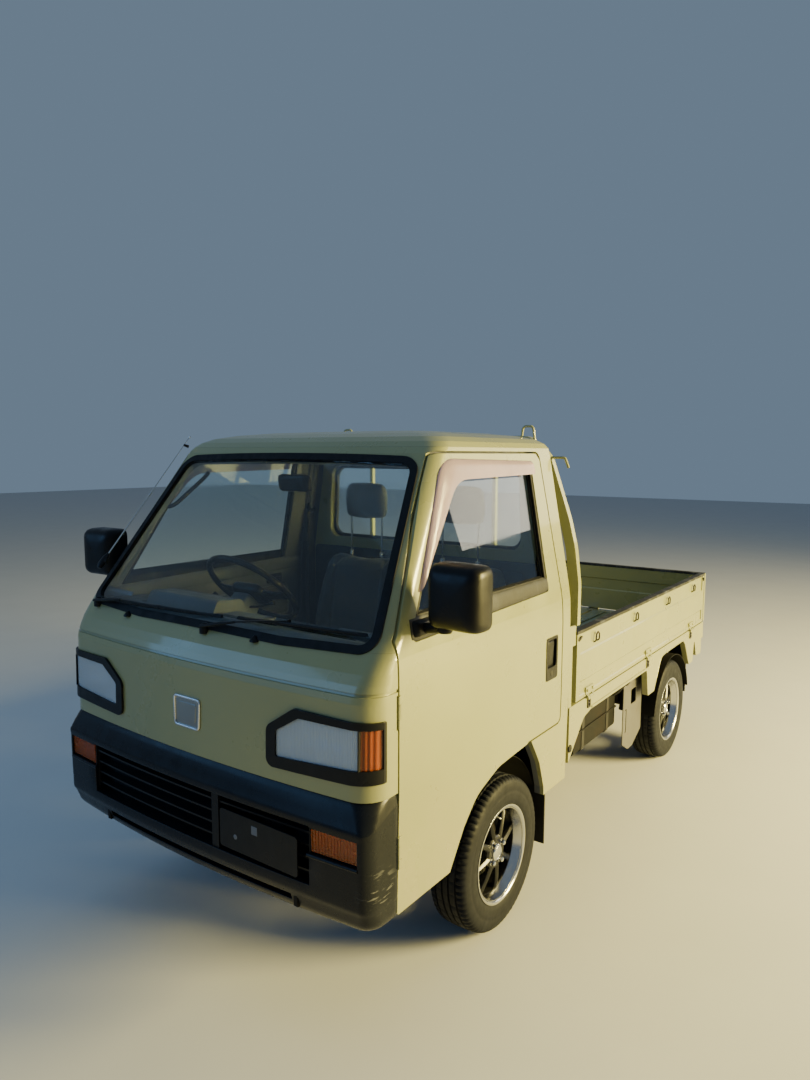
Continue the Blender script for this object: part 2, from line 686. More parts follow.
def frame_ring(shape, outer, inner, place, low, high):
    """A flat ring between two outlines with the same count of points."""
    rows = [[place(u, v, low) for u, v in outer], [place(u, v, high) for u, v in outer],
            [place(u, v, high) for u, v in inner], [place(u, v, low) for u, v in inner]]
    shape.rings(rows, closed_ends=False, loop=True)


# The nose and bumper

LENS_OUTLINE = ((379, 813), (650, 826), (650, 931), (459, 931), (379, 882))
LENS_MIDDLE = (528.0, 874.0)


def headlamps():
    outline = soft_outline(LENS_OUTLINE, 14, 4)
    bowl_rows = ((1.0, -4), (0.985, -12), (0.9, -22), (0.72, -37), (0.5, -48), (0.3, -55), (0.12, -58))
    for side_name, side in SIDES:
        bowl = Shape()
        rings = [[on_nose(x, z, depth) for x, z in scaled(outline, LENS_MIDDLE, size)]
                 for size, depth in bowl_rows]
        bowl.rings(rings[::-1], closed_ends=False)
        bowl.add(rings[-1], [tuple(range(len(outline)))])
        made = bowl.piece(f"lamp_bowl_{side_name}", REFLECTOR, "truck", side, smooth=60)
        made.modifiers.new("wall", "SOLIDIFY").thickness = 0.0015
        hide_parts("headlamp_bowls")
        bulb = Shape()
        bulb.lathe([(-34, 0.5), (-33, 7), (-26, 9), (-8, 9), (-6, 13), (0, 13), (0, 0.5)],
                   on_nose(540, 876, -54), "Y", 24)
        bulb.piece(f"lamp_bulb_{side_name}", CHROME, "truck", side, smooth=40)
        rib = Shape()
        rib.rings([[on_nose(x, z, out) for z, out in ((822, -30), (822, 5), (934, 5), (934, -30))]
                   for x in (652.2, 655.6)])
        rib.piece(f"lamp_divider_{side_name}", BLACK_FINE, "truck", side, bevel=0.6)


def badge_outline(grow, radius):
    """The blank badge's outline, wider at its top."""
    points = ((-58 - grow, 813 - grow), (60 + grow, 813 - grow), (64 + grow, 912 + grow),
              (-62 - grow, 912 + grow))
    return soft_outline(points, radius)


def nose_trim():
    badge = Shape()
    frame_ring(badge, badge_outline(0, 15), badge_outline(-7.5, 10), on_nose, -0.5, 6)
    badge.piece("blank_badge_rim", CHROME, "truck", bevel=2.2, smooth=40)
    plate = Shape()
    skin_piece(plate, badge_outline(-6.5, 10), on_nose, -0.5, 1.8)
    skin_piece(plate, badge_outline(-20, 8), on_nose, 1, 3.2)
    plate.piece("blank_badge_plate", SATIN, "truck", bevel=0.9)
    for index, (x, z) in enumerate(((-389, 1104), (234, 1108))):
        washer = Shape()
        spot = on_nose(x, z)
        washer.lathe([(-3, 1), (-3, 16), (1, 16), (4, 13), (9, 9), (13, 5), (14, 1)], spot, "Z", 20)
        washer.tube([spot + Vector((0, -2, 10)), spot + Vector((0, 7, 13))], 2.2, 8)
        washer.piece(f"washer_nozzle_{index}", BLACK_FINE, "truck", smooth=45)


# The bumper's moulding, level by level: the level, the half width, the front face, the bow, and how far the
# corner reaches across and along
BUMPER_ROWS = (
    (367, 676, -1604, 38, 50, 62), (371, 684, -1616, 36, 46, 60), (380, 689, -1624, 35, 42, 56),
    (394, 692, -1631, 34, 38, 54), (402, 693, -1633, 34, 37, 53), (422, 694.5, -1637.5, 32, 35, 51),
    (432, 695.5, -1640, 31, 33, 50), (441, 696.6, -1644, 30, 31, 48), (448, 696.8, -1645, 30, 30, 48),
    (474, 697, -1645, 30, 30, 48), (520, 697, -1645.2, 29, 30, 48), (560, 697, -1645.6, 29, 30, 48),
    (566, 697, -1645.6, 29, 30, 48), (603, 697, -1644.8, 28, 30, 48), (640, 697, -1644.8, 28, 30, 48),
    (644, 697, -1645, 28, 30, 48), (650, 697.3, -1646.2, 28, 30, 48), (656, 697.4, -1646.6, 28, 30, 48),
    (662, 697.2, -1646.2, 28, 31, 50), (668, 696.4, -1643.6, 28, 34, 54), (690, 695, -1637.5, 29, 44, 66),
    (712, 693, -1629.5, 30, 58, 78), (728, 691.5, -1623.5, 30, 68, 86), (734, 690.5, -1618, 30, 72, 88),
    (735.5, 688, -1608, 30, 72, 88),
)
BUMPER_TOP = 735.5
# x from and to, z from and to of each opening, and the depth of its walls
BUMPER_HOLES = (((-505, 505, 474, 644), 46), ((505, 664, 566, 640), 24), ((-664, -505, 566, 640), 24),
                ((-430, 430, 402, 422), 30))
BUMPER_COLUMNS = (0, 72, 144, 216, 288, 360, 430, 470, 505, 558, 611, 664)
LAST_EVEN_COLUMN, LAST_COLUMN = 505, 664
BUMPER_END_Y = -1480.0
CREASE_LIFT = 0.55


def bumper_y(x, z):
    """The front face of the bumper, ahead of its corners."""
    fronts = [(row[0], row[2]) for row in BUMPER_ROWS]
    return between(fronts, z) + bowed(x, 655, 29)


def on_bumper(x, z, out):
    """A point over the bumper's front face."""
    return Vector((x, bumper_y(x, z) - out, z))


def bumper_row(row):
    """One level of the bumper's skin from its left end to its right, with the column of each point."""
    level, half, front, bow, across, along = row
    flat = half - across
    side_y = front + bow + along
    left = [(half, side_y + (BUMPER_END_Y - side_y) * (1 - step / 5)) for step in range(5)]
    for step in range(9):
        turn = math.pi / 2 * step / 8
        left.append((flat + across * math.cos(turn), side_y - along * math.sin(turn)))
    line = [(x, y, None) for x, y in left]
    squeeze = (flat - 2 - LAST_EVEN_COLUMN) / (LAST_COLUMN - LAST_EVEN_COLUMN)
    for column in BUMPER_COLUMNS[::-1]:
        x = column
        if column > LAST_EVEN_COLUMN:
            x = LAST_EVEN_COLUMN + (column - LAST_EVEN_COLUMN) * squeeze
        line.append((x, front + bowed(x, flat, bow), column))
    line += [(-x, y, None if column is None else -column) for x, y, column in line[-2::-1]]
    points = []
    for x, y, column in line:
        lift = CREASE_LIFT * min(1.0, max(0.0, (y + 1598) / 105)) if abs(x) > 600 and level > 640 else 0.0
        points.append((Vector((x, y, BUMPER_TOP - (BUMPER_TOP - level) * (1 - lift))), column))
    return points


def in_hole(columns, levels):
    if None in columns:
        return False
    x, z = sum(columns) / 2, sum(levels) / 2
    return any(x0 < x < x1 and z0 < z < z1 for (x0, x1, z0, z1), _ in BUMPER_HOLES)


def bumper():
    rows = [bumper_row(row) for row in BUMPER_ROWS]
    count = len(rows[0])
    verts = [point for row in rows for point, _ in row]
    faces = []
    for i in range(len(rows) - 1):
        for j in range(count - 1):
            if in_hole((rows[i][j][1], rows[i][j + 1][1]), (BUMPER_ROWS[i][0], BUMPER_ROWS[i + 1][0])):
                continue
            faces.append((i * count + j, i * count + j + 1, (i + 1) * count + j + 1, (i + 1) * count + j))
    skin = Shape()
    skin.add(verts, faces)
    made = skin.piece("bumper_moulding", BUMPER_LOOK, "truck", smooth=32)
    wall = made.modifiers.new("wall", "SOLIDIFY")
    wall.thickness = 0.005
    wall.offset = -1.0
    edge = made.modifiers.new("edge", "BEVEL")
    edge.width = 0.0014
    edge.segments = 2
    edge.limit_method = "ANGLE"
    edge.angle_limit = math.radians(50)
    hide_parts("front_bumper")
    walls = Shape()
    for (x0, x1, z0, z1), deep in BUMPER_HOLES:
        turns = ((x0, z0), (x1, z0), (x1, z1), (x0, z1))
        outline = []
        for a, b in zip(turns, turns[1:] + turns[:1]):
            outline.extend((a[0] + (b[0] - a[0]) * k / 12, a[1] + (b[1] - a[1]) * k / 12)
                           for k in range(12))
        cx, cz = (x0 + x1) / 2, (z0 + z1) / 2
        wider = [(x + math.copysign(2.5, x - cx), z + math.copysign(2.5, z - cz)) for x, z in outline]
        frame_ring(walls, wider, outline, on_bumper, -deep, -3.5)
    walls.piece("bumper_opening_walls", BLACK, "truck", bevel=0.8)
    for side_name, side in SIDES:
        backs = Shape()
        frame_ring(backs, corners(504, 664, 565.5, 641, 3, 3), corners(512, 660, 574.5, 636.5, 4, 3),
                   on_bumper, -17, -13)
        backs.piece(f"bumper_lamp_frame_{side_name}", BLACK, "truck", side, bevel=0.6)
        ledge = Shape()
        ledge.tube([on_bumper(x, 561, -1.5) for x in range(498, 668, 12)], 6.5, 10)
        ledge.piece(f"bumper_lamp_ledge_{side_name}", BUMPER_LOOK, "truck", side, smooth=50)
        bracket = Shape()
        bracket.prism(((-1618, 384), (-1500, 384), (-1500, 392), (-1600, 392), (-1614, 404), (-1614, 440),
                       (-1622, 440), (-1622, 388)), "X", (438, 452))
        bracket.prism(corners(420, 470, 384, 390, 2, 2), "Y", (-1600, -1480))
        bracket.piece(f"bumper_bracket_{side_name}", CHASSIS, "truck", side, bevel=1.0)


def bumper_trim():
    bars = Shape()
    for x0, x1, z0, z1, out in ((176, 268, 586, 602, 3.5), (186, 262, 556, 572, 2.5),
                                (176, 300, 512, 520, 2), (330, 466, 512, 520, 2), (340, 352, 530, 600, 2),
                                (404, 470, 570, 600, 2.5)):
        bars.box(x0, x1, -1646.0 - out * 0.05, -1644, z0, z1)
    bars.piece("plate_bracket_ribs", BLACK, "truck", bevel=0.5)
    clip = Shape()
    clip.box(298, 322, -1646.8, -1640, 566, 592)
    clip.lathe([(-1646.8, 0.5), (-1646.8, 7), (-1646, 8.5), (-1643, 8.5)], (230, 0, 537), "Y", 20)
    clip.piece("plate_bracket_screws", GREY, "truck", bevel=0.6)
    for side_name, side in SIDES:
        screw = Shape()
        for x in (520, 650):
            screw.lathe([(-1.2, 0.4), (-1.2, 3), (0, 3.4), (1.5, 3.4)], on_bumper(x, 605, -11), "Y", 14)
        screw.piece(f"bumper_lamp_screws_{side_name}", BRUSHED, "truck", side)
        divider = Shape()
        divider.box(584, 586.5, bumper_y(585, 605) + 9, bumper_y(585, 605) + 18, 575, 636)
        divider.piece(f"bumper_lamp_rib_{side_name}", AMBER, "truck", side, bevel=0.4)
    lip = Shape()
    rings = []
    for step in range(-20, 21):
        x = step * 21.2
        y = bumper_y(x, 472)
        rings.append([Vector((x, y + dy, z)) for dy, z in ((1.5, 473.6), (-0.2, 471), (1, 466), (26, 468),
                                                           (26, 473.6))])
    lip.rings(rings)
    lip.piece("bumper_lip", BLACK, "truck", smooth=40)


# pivot across and up the glass, the arm's bend and joint, the blade's two ends
WIPERS = (((-595, 17), (-440, 38), (-225, 45), ((-534, 33), (72, 55))),
          ((17, 8), (150, 40), (345, 72), ((138, 60), (612, 68))))
# up the glass and off it, round the rubber strip
BLADE_SECTION = ((-5, 13), (-5, 8.5), (-1, 7), (-0.5, 1.5), (0.5, 1.5), (1, 7), (5, 8.5), (5, 13))


def on_blade(blade, share, out, off=0.0):
    """A point over a wiper blade: a share of the way along it, off the glass and up the glass."""
    start, end = blade
    return on_screen(start[0] + (end[0] - start[0]) * share, start[1] + (end[1] - start[1]) * share + off,
                     out)


def wipers():
    made = None
    for index, (pivot, bend_at, joint, blade) in enumerate(WIPERS):
        arm = Shape()
        arm.lathe([(-14, 1), (-14, 15), (0, 15), (10, 13), (17, 9), (19, 1)], on_screen(*pivot, 6), "Z", 24)
        toward = (bend_at[0] * 0.55 + pivot[0] * 0.45, bend_at[1] * 0.55 + pivot[1] * 0.45)
        halfway = ((bend_at[0] + joint[0]) / 2, (bend_at[1] + joint[1]) / 2)
        arm.tube([on_screen(*pivot, 22), on_screen(*toward, 25), on_screen(*bend_at, 25)], [9.5, 9.5, 6.5],
                 10, 0.6)
        arm.tube(rounded([on_screen(*bend_at, 25), on_screen(*halfway, 25), on_screen(*joint, 20)], 60),
                 4.4, 8, 0.6)
        for start, end in ((0.06, 0.3), (0.68, 0.94)):
            arm.tube([on_blade(blade, share, out) for share, out in
                      ((start, 11), ((start + end) / 2, 15), (end, 11))], 3.0, 8, 1.2)
        arm.tube([on_blade(blade, share, out) for share, out in ((0.18, 15), (0.5, 20), (0.81, 15))],
                 4.2, 8, 1.2)
        arm.lathe([(-6, 0.5), (-6, 6), (6, 6), (6, 0.5)], on_screen(*joint, 18), "Z", 16)
        made = arm.piece(f"wiper_arm_{index}", BLACK_FINE, "truck", smooth=40)
        strip = Shape()
        strip.rings([[on_blade(blade, step / 20, out, off) for off, out in BLADE_SECTION]
                     for step in range(21)])
        strip.piece(f"wiper_blade_{index}", RUBBER, "truck", smooth=30)
    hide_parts("wipers")


def antenna():
    foot, tip = Vector((668, -1459, 1259)), Vector((592, -1112, 1717))
    along = (tip - foot).normalized()
    base = Shape()
    base.tube([foot - along * 34 + Vector((-3, 0, 0)), foot - along * 20, foot + along * 12,
               foot + along * 30], [9, 14, 13, 7], 14, 0.8)
    base.tube([foot, foot + Vector((-14, 6, -3))], 11, 12)
    base.piece("antenna_base", BLACK, "truck", -1, smooth=45)
    mast = Shape()
    mast.tube([foot + along * 26, foot.lerp(tip, 0.5), tip], [2.8, 2.3, 1.5], 8)
    mast.tube([foot.lerp(tip, 0.52) - along * 9, foot.lerp(tip, 0.52) + along * 9], 4.2, 10)
    mast.tube([tip - along * 4, tip, tip + along * 4], [2, 4, 2], 10)
    mast.piece("antenna_mast", CHROME, "truck", -1, smooth=40)
    clip = Shape()
    spot = foot.lerp(tip, 0.93)
    clip.tube([spot, spot + Vector((-16, 8, -6))], [4.5, 6], 8)
    clip.piece("antenna_clip", BLACK, "truck", -1, smooth=40)


# Doors

WINDOW_OUTLINE = ((-1412, 1134), (-530, 1153), (-522, 1622), (-1113, 1630))


def inset(points, distance):
    """A convex outline (anticlockwise) with every edge moved inward."""
    lines = []
    count = len(points)
    for i in range(count):
        a, b = Vector(points[i]), Vector(points[(i + 1) % count])
        along = (b - a).normalized()
        normal = Vector((-along.y, along.x))
        lines.append((a + normal * distance, along))
    made = []
    for i in range(count):
        (p, d), (q, e) = lines[i - 1], lines[i]
        cross = d.x * e.y - d.y * e.x
        t = ((q.x - p.x) * e.y - (q.y - p.y) * e.x) / cross
        made.append((p.x + d.x * t, p.y + d.y * t))
    return made


def window_line(distance):
    radii = [max(4.0, radius - distance) for radius in (18, 15, 22, 60)]
    return soft_outline(inset(WINDOW_OUTLINE, distance), radii)


def door_window_trim(body, side_name, side):
    channel = Shape()
    frame_ring(channel, window_line(0.5), window_line(13), on_side, -23, -3)
    channel.piece(f"window_channel_{side_name}", RUBBER, body, side, bevel=1.2)
    lip = Shape()
    frame_ring(lip, window_line(12), window_line(17), on_side, -24, -14)
    lip.piece(f"window_lip_{side_name}", RUBBER, body, side, bevel=1.2)
    belt = Shape()
    rings = []
    for step in range(25):
        y = -1403 + 871 * step / 24
        foot = 1134 + (y + 1412) * 19 / 882 + (6 if step in (0, 24) else 0)
        rings.append([on_side(y, z, out) for out, z in ((-15, foot + 3), (-1.5, foot + 1),
                                                        (1.5, foot + 5), (2.6, foot + 16), (2.4, 1186),
                                                        (0.5, 1199), (-3, 1204), (-15, 1206))])
    belt.rings(rings)
    made = belt.piece(f"belt_moulding_{side_name}", BELT_TRIM, body, side, smooth=45)
    wiper = Shape()
    wiper.rings([[on_side(y, z, out) for out, z in ((-2, 1200), (-2, 1207), (-17, 1211), (-17, 1204))]
                 for y in range(-1365, -534, 30)])
    wiper.piece(f"belt_wiper_{side_name}", RUBBER, body, side, bevel=0.8)
    return made


def rain_visor(body, side_name, side):
    foot, top = Vector(WINDOW_OUTLINE[0]), Vector(WINDOW_OUTLINE[3])
    along = (top - foot).normalized()
    normal = Vector((-along.y, along.x))
    low = foot + along * 150
    corner_out = top + normal * 7 + Vector((-3, 7))
    tail = Vector((-524, 1629))
    front = [low + normal * 7, corner_out, tail]
    outer = rounded([(p.x, p.y, 0) for p in front], 70, 8)
    back = [low + along * 40 - normal * 2, corner_out + Vector((56, -68)), tail + Vector((0, -48))]
    inner = rounded([(p.x, p.y, 0) for p in back], 60, 8)
    fine_outer, fine_inner = [], []
    for line, fine in ((outer, fine_outer), (inner, fine_inner)):
        for a, b in zip(line, line[1:]):
            parts = 6 if (b - a).length > 60 else 1
            fine.extend(a.lerp(b, k / parts) for k in range(parts))
        fine.append(line[-1])
    across = ((0.0, 1.0), (0.08, 7.0), (0.3, 11.5), (0.65, 14.0), (1.0, 13.0))
    section = across + tuple((share, out - 2.2) for share, out in across[::-1])
    shape = Shape()
    shape.rings([[on_side(*a.lerp(b, share).xy, out) for share, out in section]
                 for a, b in zip(fine_outer, fine_inner)])
    return shape.piece(f"rain_visor_{side_name}", VISOR, body, side, smooth=50)


def door_handle(body, side_name, side):
    cup = Shape()
    outer = corners(-561, -463, 819, 981, 15, 5)
    hole = corners(-549, -475, 866, 970, 11, 5)
    rows = []
    for line, outs in ((outer, (-1.5, 1.4)), (corners(-558, -466, 822, 978, 13, 5), (2.4,)),
                       (corners(-552, -472, 863, 973, 12, 5), (2.4,)), (hole, (1.2, -9.5))):
        for out in outs:
            rows.append([on_side(y, z, out) for y, z in line])
    cup.rings(rows, closed_ends=False)
    cup.add(rows[-1], [tuple(range(len(hole)))])
    cup.piece(f"handle_cup_{side_name}", BLACK_FINE, body, side, smooth=40)
    lever = Shape()
    lever.rings([[on_side(y, z, o) for y, o in ((-546, out - thick), (-546, out - 1), (-540, out + 0.6),
                                              (-500, out + 0.9), (-496, out - 1), (-496, out - thick))]
                 for z, out, thick in ((873, -5.5, 3), (882, -3.2, 3.5), (915, -1.0, 4), (950, 0.6, 4),
                                       (962, 0.0, 5), (966, -3.0, 3))])
    lever.piece(f"handle_lever_{side_name}", BLACK_FINE, body, side, smooth=40, bevel=0.5)
    lock = Shape()
    spot = (0, -512, 843)
    lock.lathe([(698, 0.5), (698, 12), (700.2, 11.4), (700.8, 9.6), (699.8, 8.6), (699.8, 1.6),
                (699.0, 1.5), (699.0, 0.5)], spot, "X", 28)
    lock.box(699.6, 700.1, -513, -511, 838, 848)
    lock.piece(f"door_lock_{side_name}", DARK_STEEL, body, side, smooth=30)


def door_mirror(body, side_name, side):
    middle = (811.0, 1270.0)
    outline = corners(725, 896.5, 1180, 1361, 30, 6)

    def slanted(size, slant, y):
        return [Vector((x, y - (x - middle[0]) * slant, z)) for x, z in scaled(outline, middle, size)]

    housing = Shape()
    housing.rings([slanted(size, 0.05, y) for size, y in
                   ((0.05, -1411), (0.45, -1410), (0.7, -1406.5), (0.86, -1399), (0.95, -1387),
                    (0.99, -1370), (1.0, -1350), (1.0, -1325), (0.985, -1321), (0.955, -1321),
                    (0.945, -1324), (0.94, -1336))])
    housing.piece(f"mirror_housing_{side_name}", BLACK, body, side, smooth=45)
    glass = Shape()
    glass.rings([slanted(0.945, 0.05 / 0.945, y) for y in (-1328, -1325.5)])
    glass.piece(f"mirror_glass_{side_name}", MIRROR, body, side, smooth=30)
    arm = Shape()
    arm.tube(rounded([(688, -1352, 1170), (728, -1356, 1174), (762, -1360, 1184), (788, -1362, 1206)], 22),
             11.5, 14, 1.3)
    arm.lathe([(1168, 1), (1168, 19), (1174, 22), (1192, 20), (1200, 15), (1204, 1)], (768, -1360, 0),
              "Z", 24)
    arm.rings([[on_side(y, z, out) for y, z in
                corners(-1392 - grow, -1308 + grow, 1150 - grow * 0.5, 1192 + grow * 0.5, 12)]
               for out, grow in ((-8, 4), (4, 3), (12, -2), (17, -9))])
    made = arm.piece(f"mirror_arm_{side_name}", BLACK, body, side, smooth=40)
    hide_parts(f"door_mirror_{side_name}")


def door_card(body, side_name, side):
    """The inner door panel with its arm rest, pull, winder and release."""
    card = Shape()
    outline = soft_outline(((-1425, 668), (-452, 668), (-452, 1128), (-1425, 1112)), (30, 30, 16, 16))
    middle = Vector((-940, 900))
    rings = []
    for inset_by, x in ((0, 659.5), (0, 652.5), (5, 650.5), (14, 650.0)):
        ring = []
        for y, z in outline:
            toward = (middle - Vector((y, z))).normalized()
            ring.append(Vector((x, y + toward.x * inset_by, z + toward.y * inset_by)))
        rings.append(ring)
    card.rings(rings)
    card.piece(f"door_card_{side_name}", GREY, body, side, smooth=40)
    sill = Shape()
    rings = []
    for step in range(13):
        y = -1432 + 986 * step / 12
        rise = (y + 1432) * 19 / 986
        rings.append([Vector((x, y, z + rise)) for x, z in ((656, 1098), (649, 1100), (644, 1108),
                                                            (641, 1128), (642, 1142), (647, 1152),
                                                            (655, 1156), (660, 1156), (660, 1134))])
    sill.rings(rings)
    sill.piece(f"door_sill_trim_{side_name}", GREY, body, side, smooth=45)
    pad = Shape()
    pad.stack(shrinking((-1330, -520, 905, 1050), 18, 4, ((651, 0), (645, 1), (641, 8), (640, 20))), "X")
    pad.piece(f"door_card_pad_{side_name}", CLOTH, body, side, smooth=45)
    fittings = Shape()
    fittings.prism(((651, 842), (606, 850), (600, 866), (606, 878), (651, 888)), "Y",
                   (-1010, -1000, -720, -710))
    fittings.tube(rounded([(648, -1240, 960), (618, -1238, 960), (616, -1130, 985), (648, -1128, 986)],
                          20), 8, 10)
    fittings.piece(f"door_pull_{side_name}", GREY, body, side, smooth=40, bevel=3)
    winder = Shape()
    winder.lathe([(652, 1), (652, 22), (645, 21), (640, 14), (636, 1)], (0, -1085, 835), "X", 24)
    winder.tube(rounded([(640, -1085, 835), (632, -1100, 800), (622, -1125, 752)], 20), [9, 7.5, 7], 10,
                0.7)
    winder.lathe([(628, 1), (628, 10), (600, 11), (596, 8), (594, 1)], (0, -1125, 752), "X", 18)
    winder.piece(f"window_winder_{side_name}", BLACK_FINE, body, side, smooth=40)
    catch = Shape()
    catch.stack(shrinking((-655, -560, 1062, 1104), 8, 3, ((652, 0), (647, 0), (645, 3))), "X")
    catch.tube([(641, -640, 1083), (638, -610, 1084), (641, -575, 1083)], [5, 5.5, 4], 8)
    catch.piece(f"door_release_{side_name}", BLACK_FINE, body, side, smooth=40)


def doors():
    for side_name, side in SIDES:
        body = f"door_{side_name}"
        trim = door_window_trim(body, side_name, side)
        rain_visor(body, side_name, side)
        door_handle(body, side_name, side)
        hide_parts(f"door_trim_{side_name}")
        door_mirror(body, side_name, side)
        door_card(body, side_name, side)


# Seats, blown up as cloth over a smaller shape

SEAT_MIDDLES = {"right": -242.0, "left": 242.0}
SEAM_X = 128.0
# y, how much narrower, base and lift of the cushion
CUSHION_ROWS = ((-944, 16, 640, -34), (-936, 6, 622, -14), (-915, 1, 614, -3), (-870, 0, 612, 2),
                (-760, 0, 612, 0), (-640, 0, 612, -4), (-560, 3, 614, -2), (-545, 12, 622, -12))
# level, front Y, rear Y and half width of the back
BACK_ROWS = ((716, -560, -466, 196), (728, -571, -458, 210), (760, -574, -452, 216), (840, -566, -441, 218),
             (960, -545, -427, 217), (1080, -521, -413, 212), (1160, -503, -406, 203),
             (1198, -487, -408, 188), (1212, -470, -420, 166))
SEAT_CLOTH = {
    "quality": 4, "mass": 0.3, "tension_stiffness": 12, "compression_stiffness": 12, "shear_stiffness": 6,
    "bending_stiffness": 0.6, "use_pressure": True,
}
CLOTH_FRAMES = 20


def evaluated_copy(made):
    """The mesh as its modifiers leave it."""
    graph = bpy.context.evaluated_depsgraph_get()
    return bpy.data.meshes.new_from_object(made.evaluated_get(graph))


def blown(shape, name, on_seam, cell=0.0075, cap=0.024, pressure=4.0):
    """A closed shape, remeshed finely and blown up a little as cloth; its seam points stay put."""
    data = bpy.data.meshes.new(name)
    bmesh.ops.recalc_face_normals(shape.mesh, faces=shape.mesh.faces)
    bmesh.ops.scale(shape.mesh, vec=(MM, MM, MM), verts=shape.mesh.verts)
    shape.mesh.to_mesh(data)
    shape.mesh.free()
    made = placed(name, data)
    finer = made.modifiers.new("cells", "REMESH")
    finer.mode = "VOXEL"
    finer.voxel_size = cell
    relaxed = made.modifiers.new("relaxed", "SMOOTH")
    relaxed.iterations = 3
    relaxed.factor = 0.5
    made.data = evaluated_copy(made)
    made.modifiers.clear()
    start = [vert.co.copy() for vert in made.data.vertices]
    pins = made.vertex_groups.new(name="seams")
    pins.add([i for i, co in enumerate(start) if on_seam(co / MM)], 1.0, "REPLACE")
    cloth_made = made.modifiers.new("cloth", "CLOTH")
    settings = cloth_made.settings
    for option, value in SEAT_CLOTH.items():
        setattr(settings, option, value)
    settings.uniform_pressure_force = pressure
    settings.effector_weights.gravity = 0
    settings.vertex_group_mass = "seams"
    cloth_made.collision_settings.use_collision = False
    for step in range(1, CLOTH_FRAMES + 1):
        bpy.context.scene.frame_set(step)
    graph = bpy.context.evaluated_depsgraph_get()
    ends = [vert.co.copy() for vert in made.evaluated_get(graph).data.vertices]
    made.modifiers.clear()
    for vert, before, after in zip(made.data.vertices, start, ends):
        move = after - before
        if move.length > cap:
            move *= cap / move.length
        vert.co = before + move
    made.vertex_groups.clear()
    bpy.context.scene.frame_set(1)
    for face in made.data.polygons:
        face.use_smooth = True
    return made


def facing(middle, half_outline, centre, base):
    """A seat's outline from its left half, the point at its middle and the left point of its base."""
    line = half_outline + [centre] + mirrored(half_outline) + [(-base[0], base[1]), base]
    return [(middle + u, v) for u, v in line]


def cushion_shape(middle):
    rows = []
    for y, grow, low, lift in CUSHION_ROWS:
        half = 224 - grow
        left = [(-half, low + 8), (-half - 2, 660), (-half + 2, 694 + lift), (-half + 22, 716 + lift),
                (-SEAM_X - 26, 718 + lift), (-SEAM_X, 700 + lift), (-SEAM_X + 30, 706 + lift)]
        rows.append((y, facing(middle, left, (0, 707 + lift), (-half + 14, low))))
    shape = Shape()
    shape.stack(rows, "Y")
    return shape


def back_shape(middle):
    rows = []
    for z, front, rear, half in BACK_ROWS:
        left = [(-half, rear - 16), (-half - 1, (front + rear) / 2), (-half + 8, front + 4),
                (-half + 34, front - 6), (-SEAM_X - 16, front - 2), (-SEAM_X, front + 14),
                (-SEAM_X + 28, front + 6)]
        rows.append((z, facing(middle, left, (0, front + 5), (-half + 18, rear))))
    shape = Shape()
    shape.stack(rows, "Z")
    return shape


def headrest_shape(middle):
    shape = Shape()
    rings = []
    for z, half, thick in ((1373, 88, 18), (1379, 102, 24), (1400, 110, 28), (1450, 113, 29),
                           (1495, 108, 27), (1515, 96, 22), (1522, 82, 15)):
        y = -433 - (z - 1373) * 0.02
        ring = []
        for step in range(24):
            turn = 2 * math.pi * step / 24
            cx = math.copysign(abs(math.cos(turn)) ** 0.5, math.cos(turn)) * half
            cy = math.copysign(abs(math.sin(turn)) ** 0.8, math.sin(turn)) * thick
            ring.append(Vector((middle + cx, y + cy, z)))
        rings.append(ring)
    shape.rings(rings)
    return shape


def on_cushion_seam(middle):
    def found(point):
        top = point.z > 680 and -935 < point.y < -560
        if not top:
            return point.z < 618
        return abs(abs(point.x - middle)
                   - SEAM_X) < 6 or abs(point.y + 700) < 5 and abs(point.x - middle) < SEAM_X
    return found


def on_back_seam(middle):
    def found(point):
        if point.y > -430 + (1200 - point.z) * 0.06 or point.z < 722:
            return False
        across = abs(point.x - middle)
        front = point.y < -440
        return front and (abs(across - SEAM_X) < 6 and point.z < 1150
                          or abs(point.z - 930) < 5 and across < SEAM_X
                          or abs(point.z - 1152) < 5 and across < SEAM_X)
    return found


def never(point):
    return False


def finish_soft(made, look):
    """Material, one subdivision and the body for a blown piece."""
    made.data.materials.clear()
    made.data.materials.append(look)
    finer = made.modifiers.new("finer", "SUBSURF")
    finer.levels = 1
    finer.render_levels = 1
    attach(made, "truck")


def shifted_copy(made, name, shift):
    """The same piece further across the truck."""
    data = made.data.copy()
    data.transform(Matrix.Translation((shift * MM, 0, 0)))
    for face in data.polygons:
        face.use_smooth = True
    return placed(name, data)


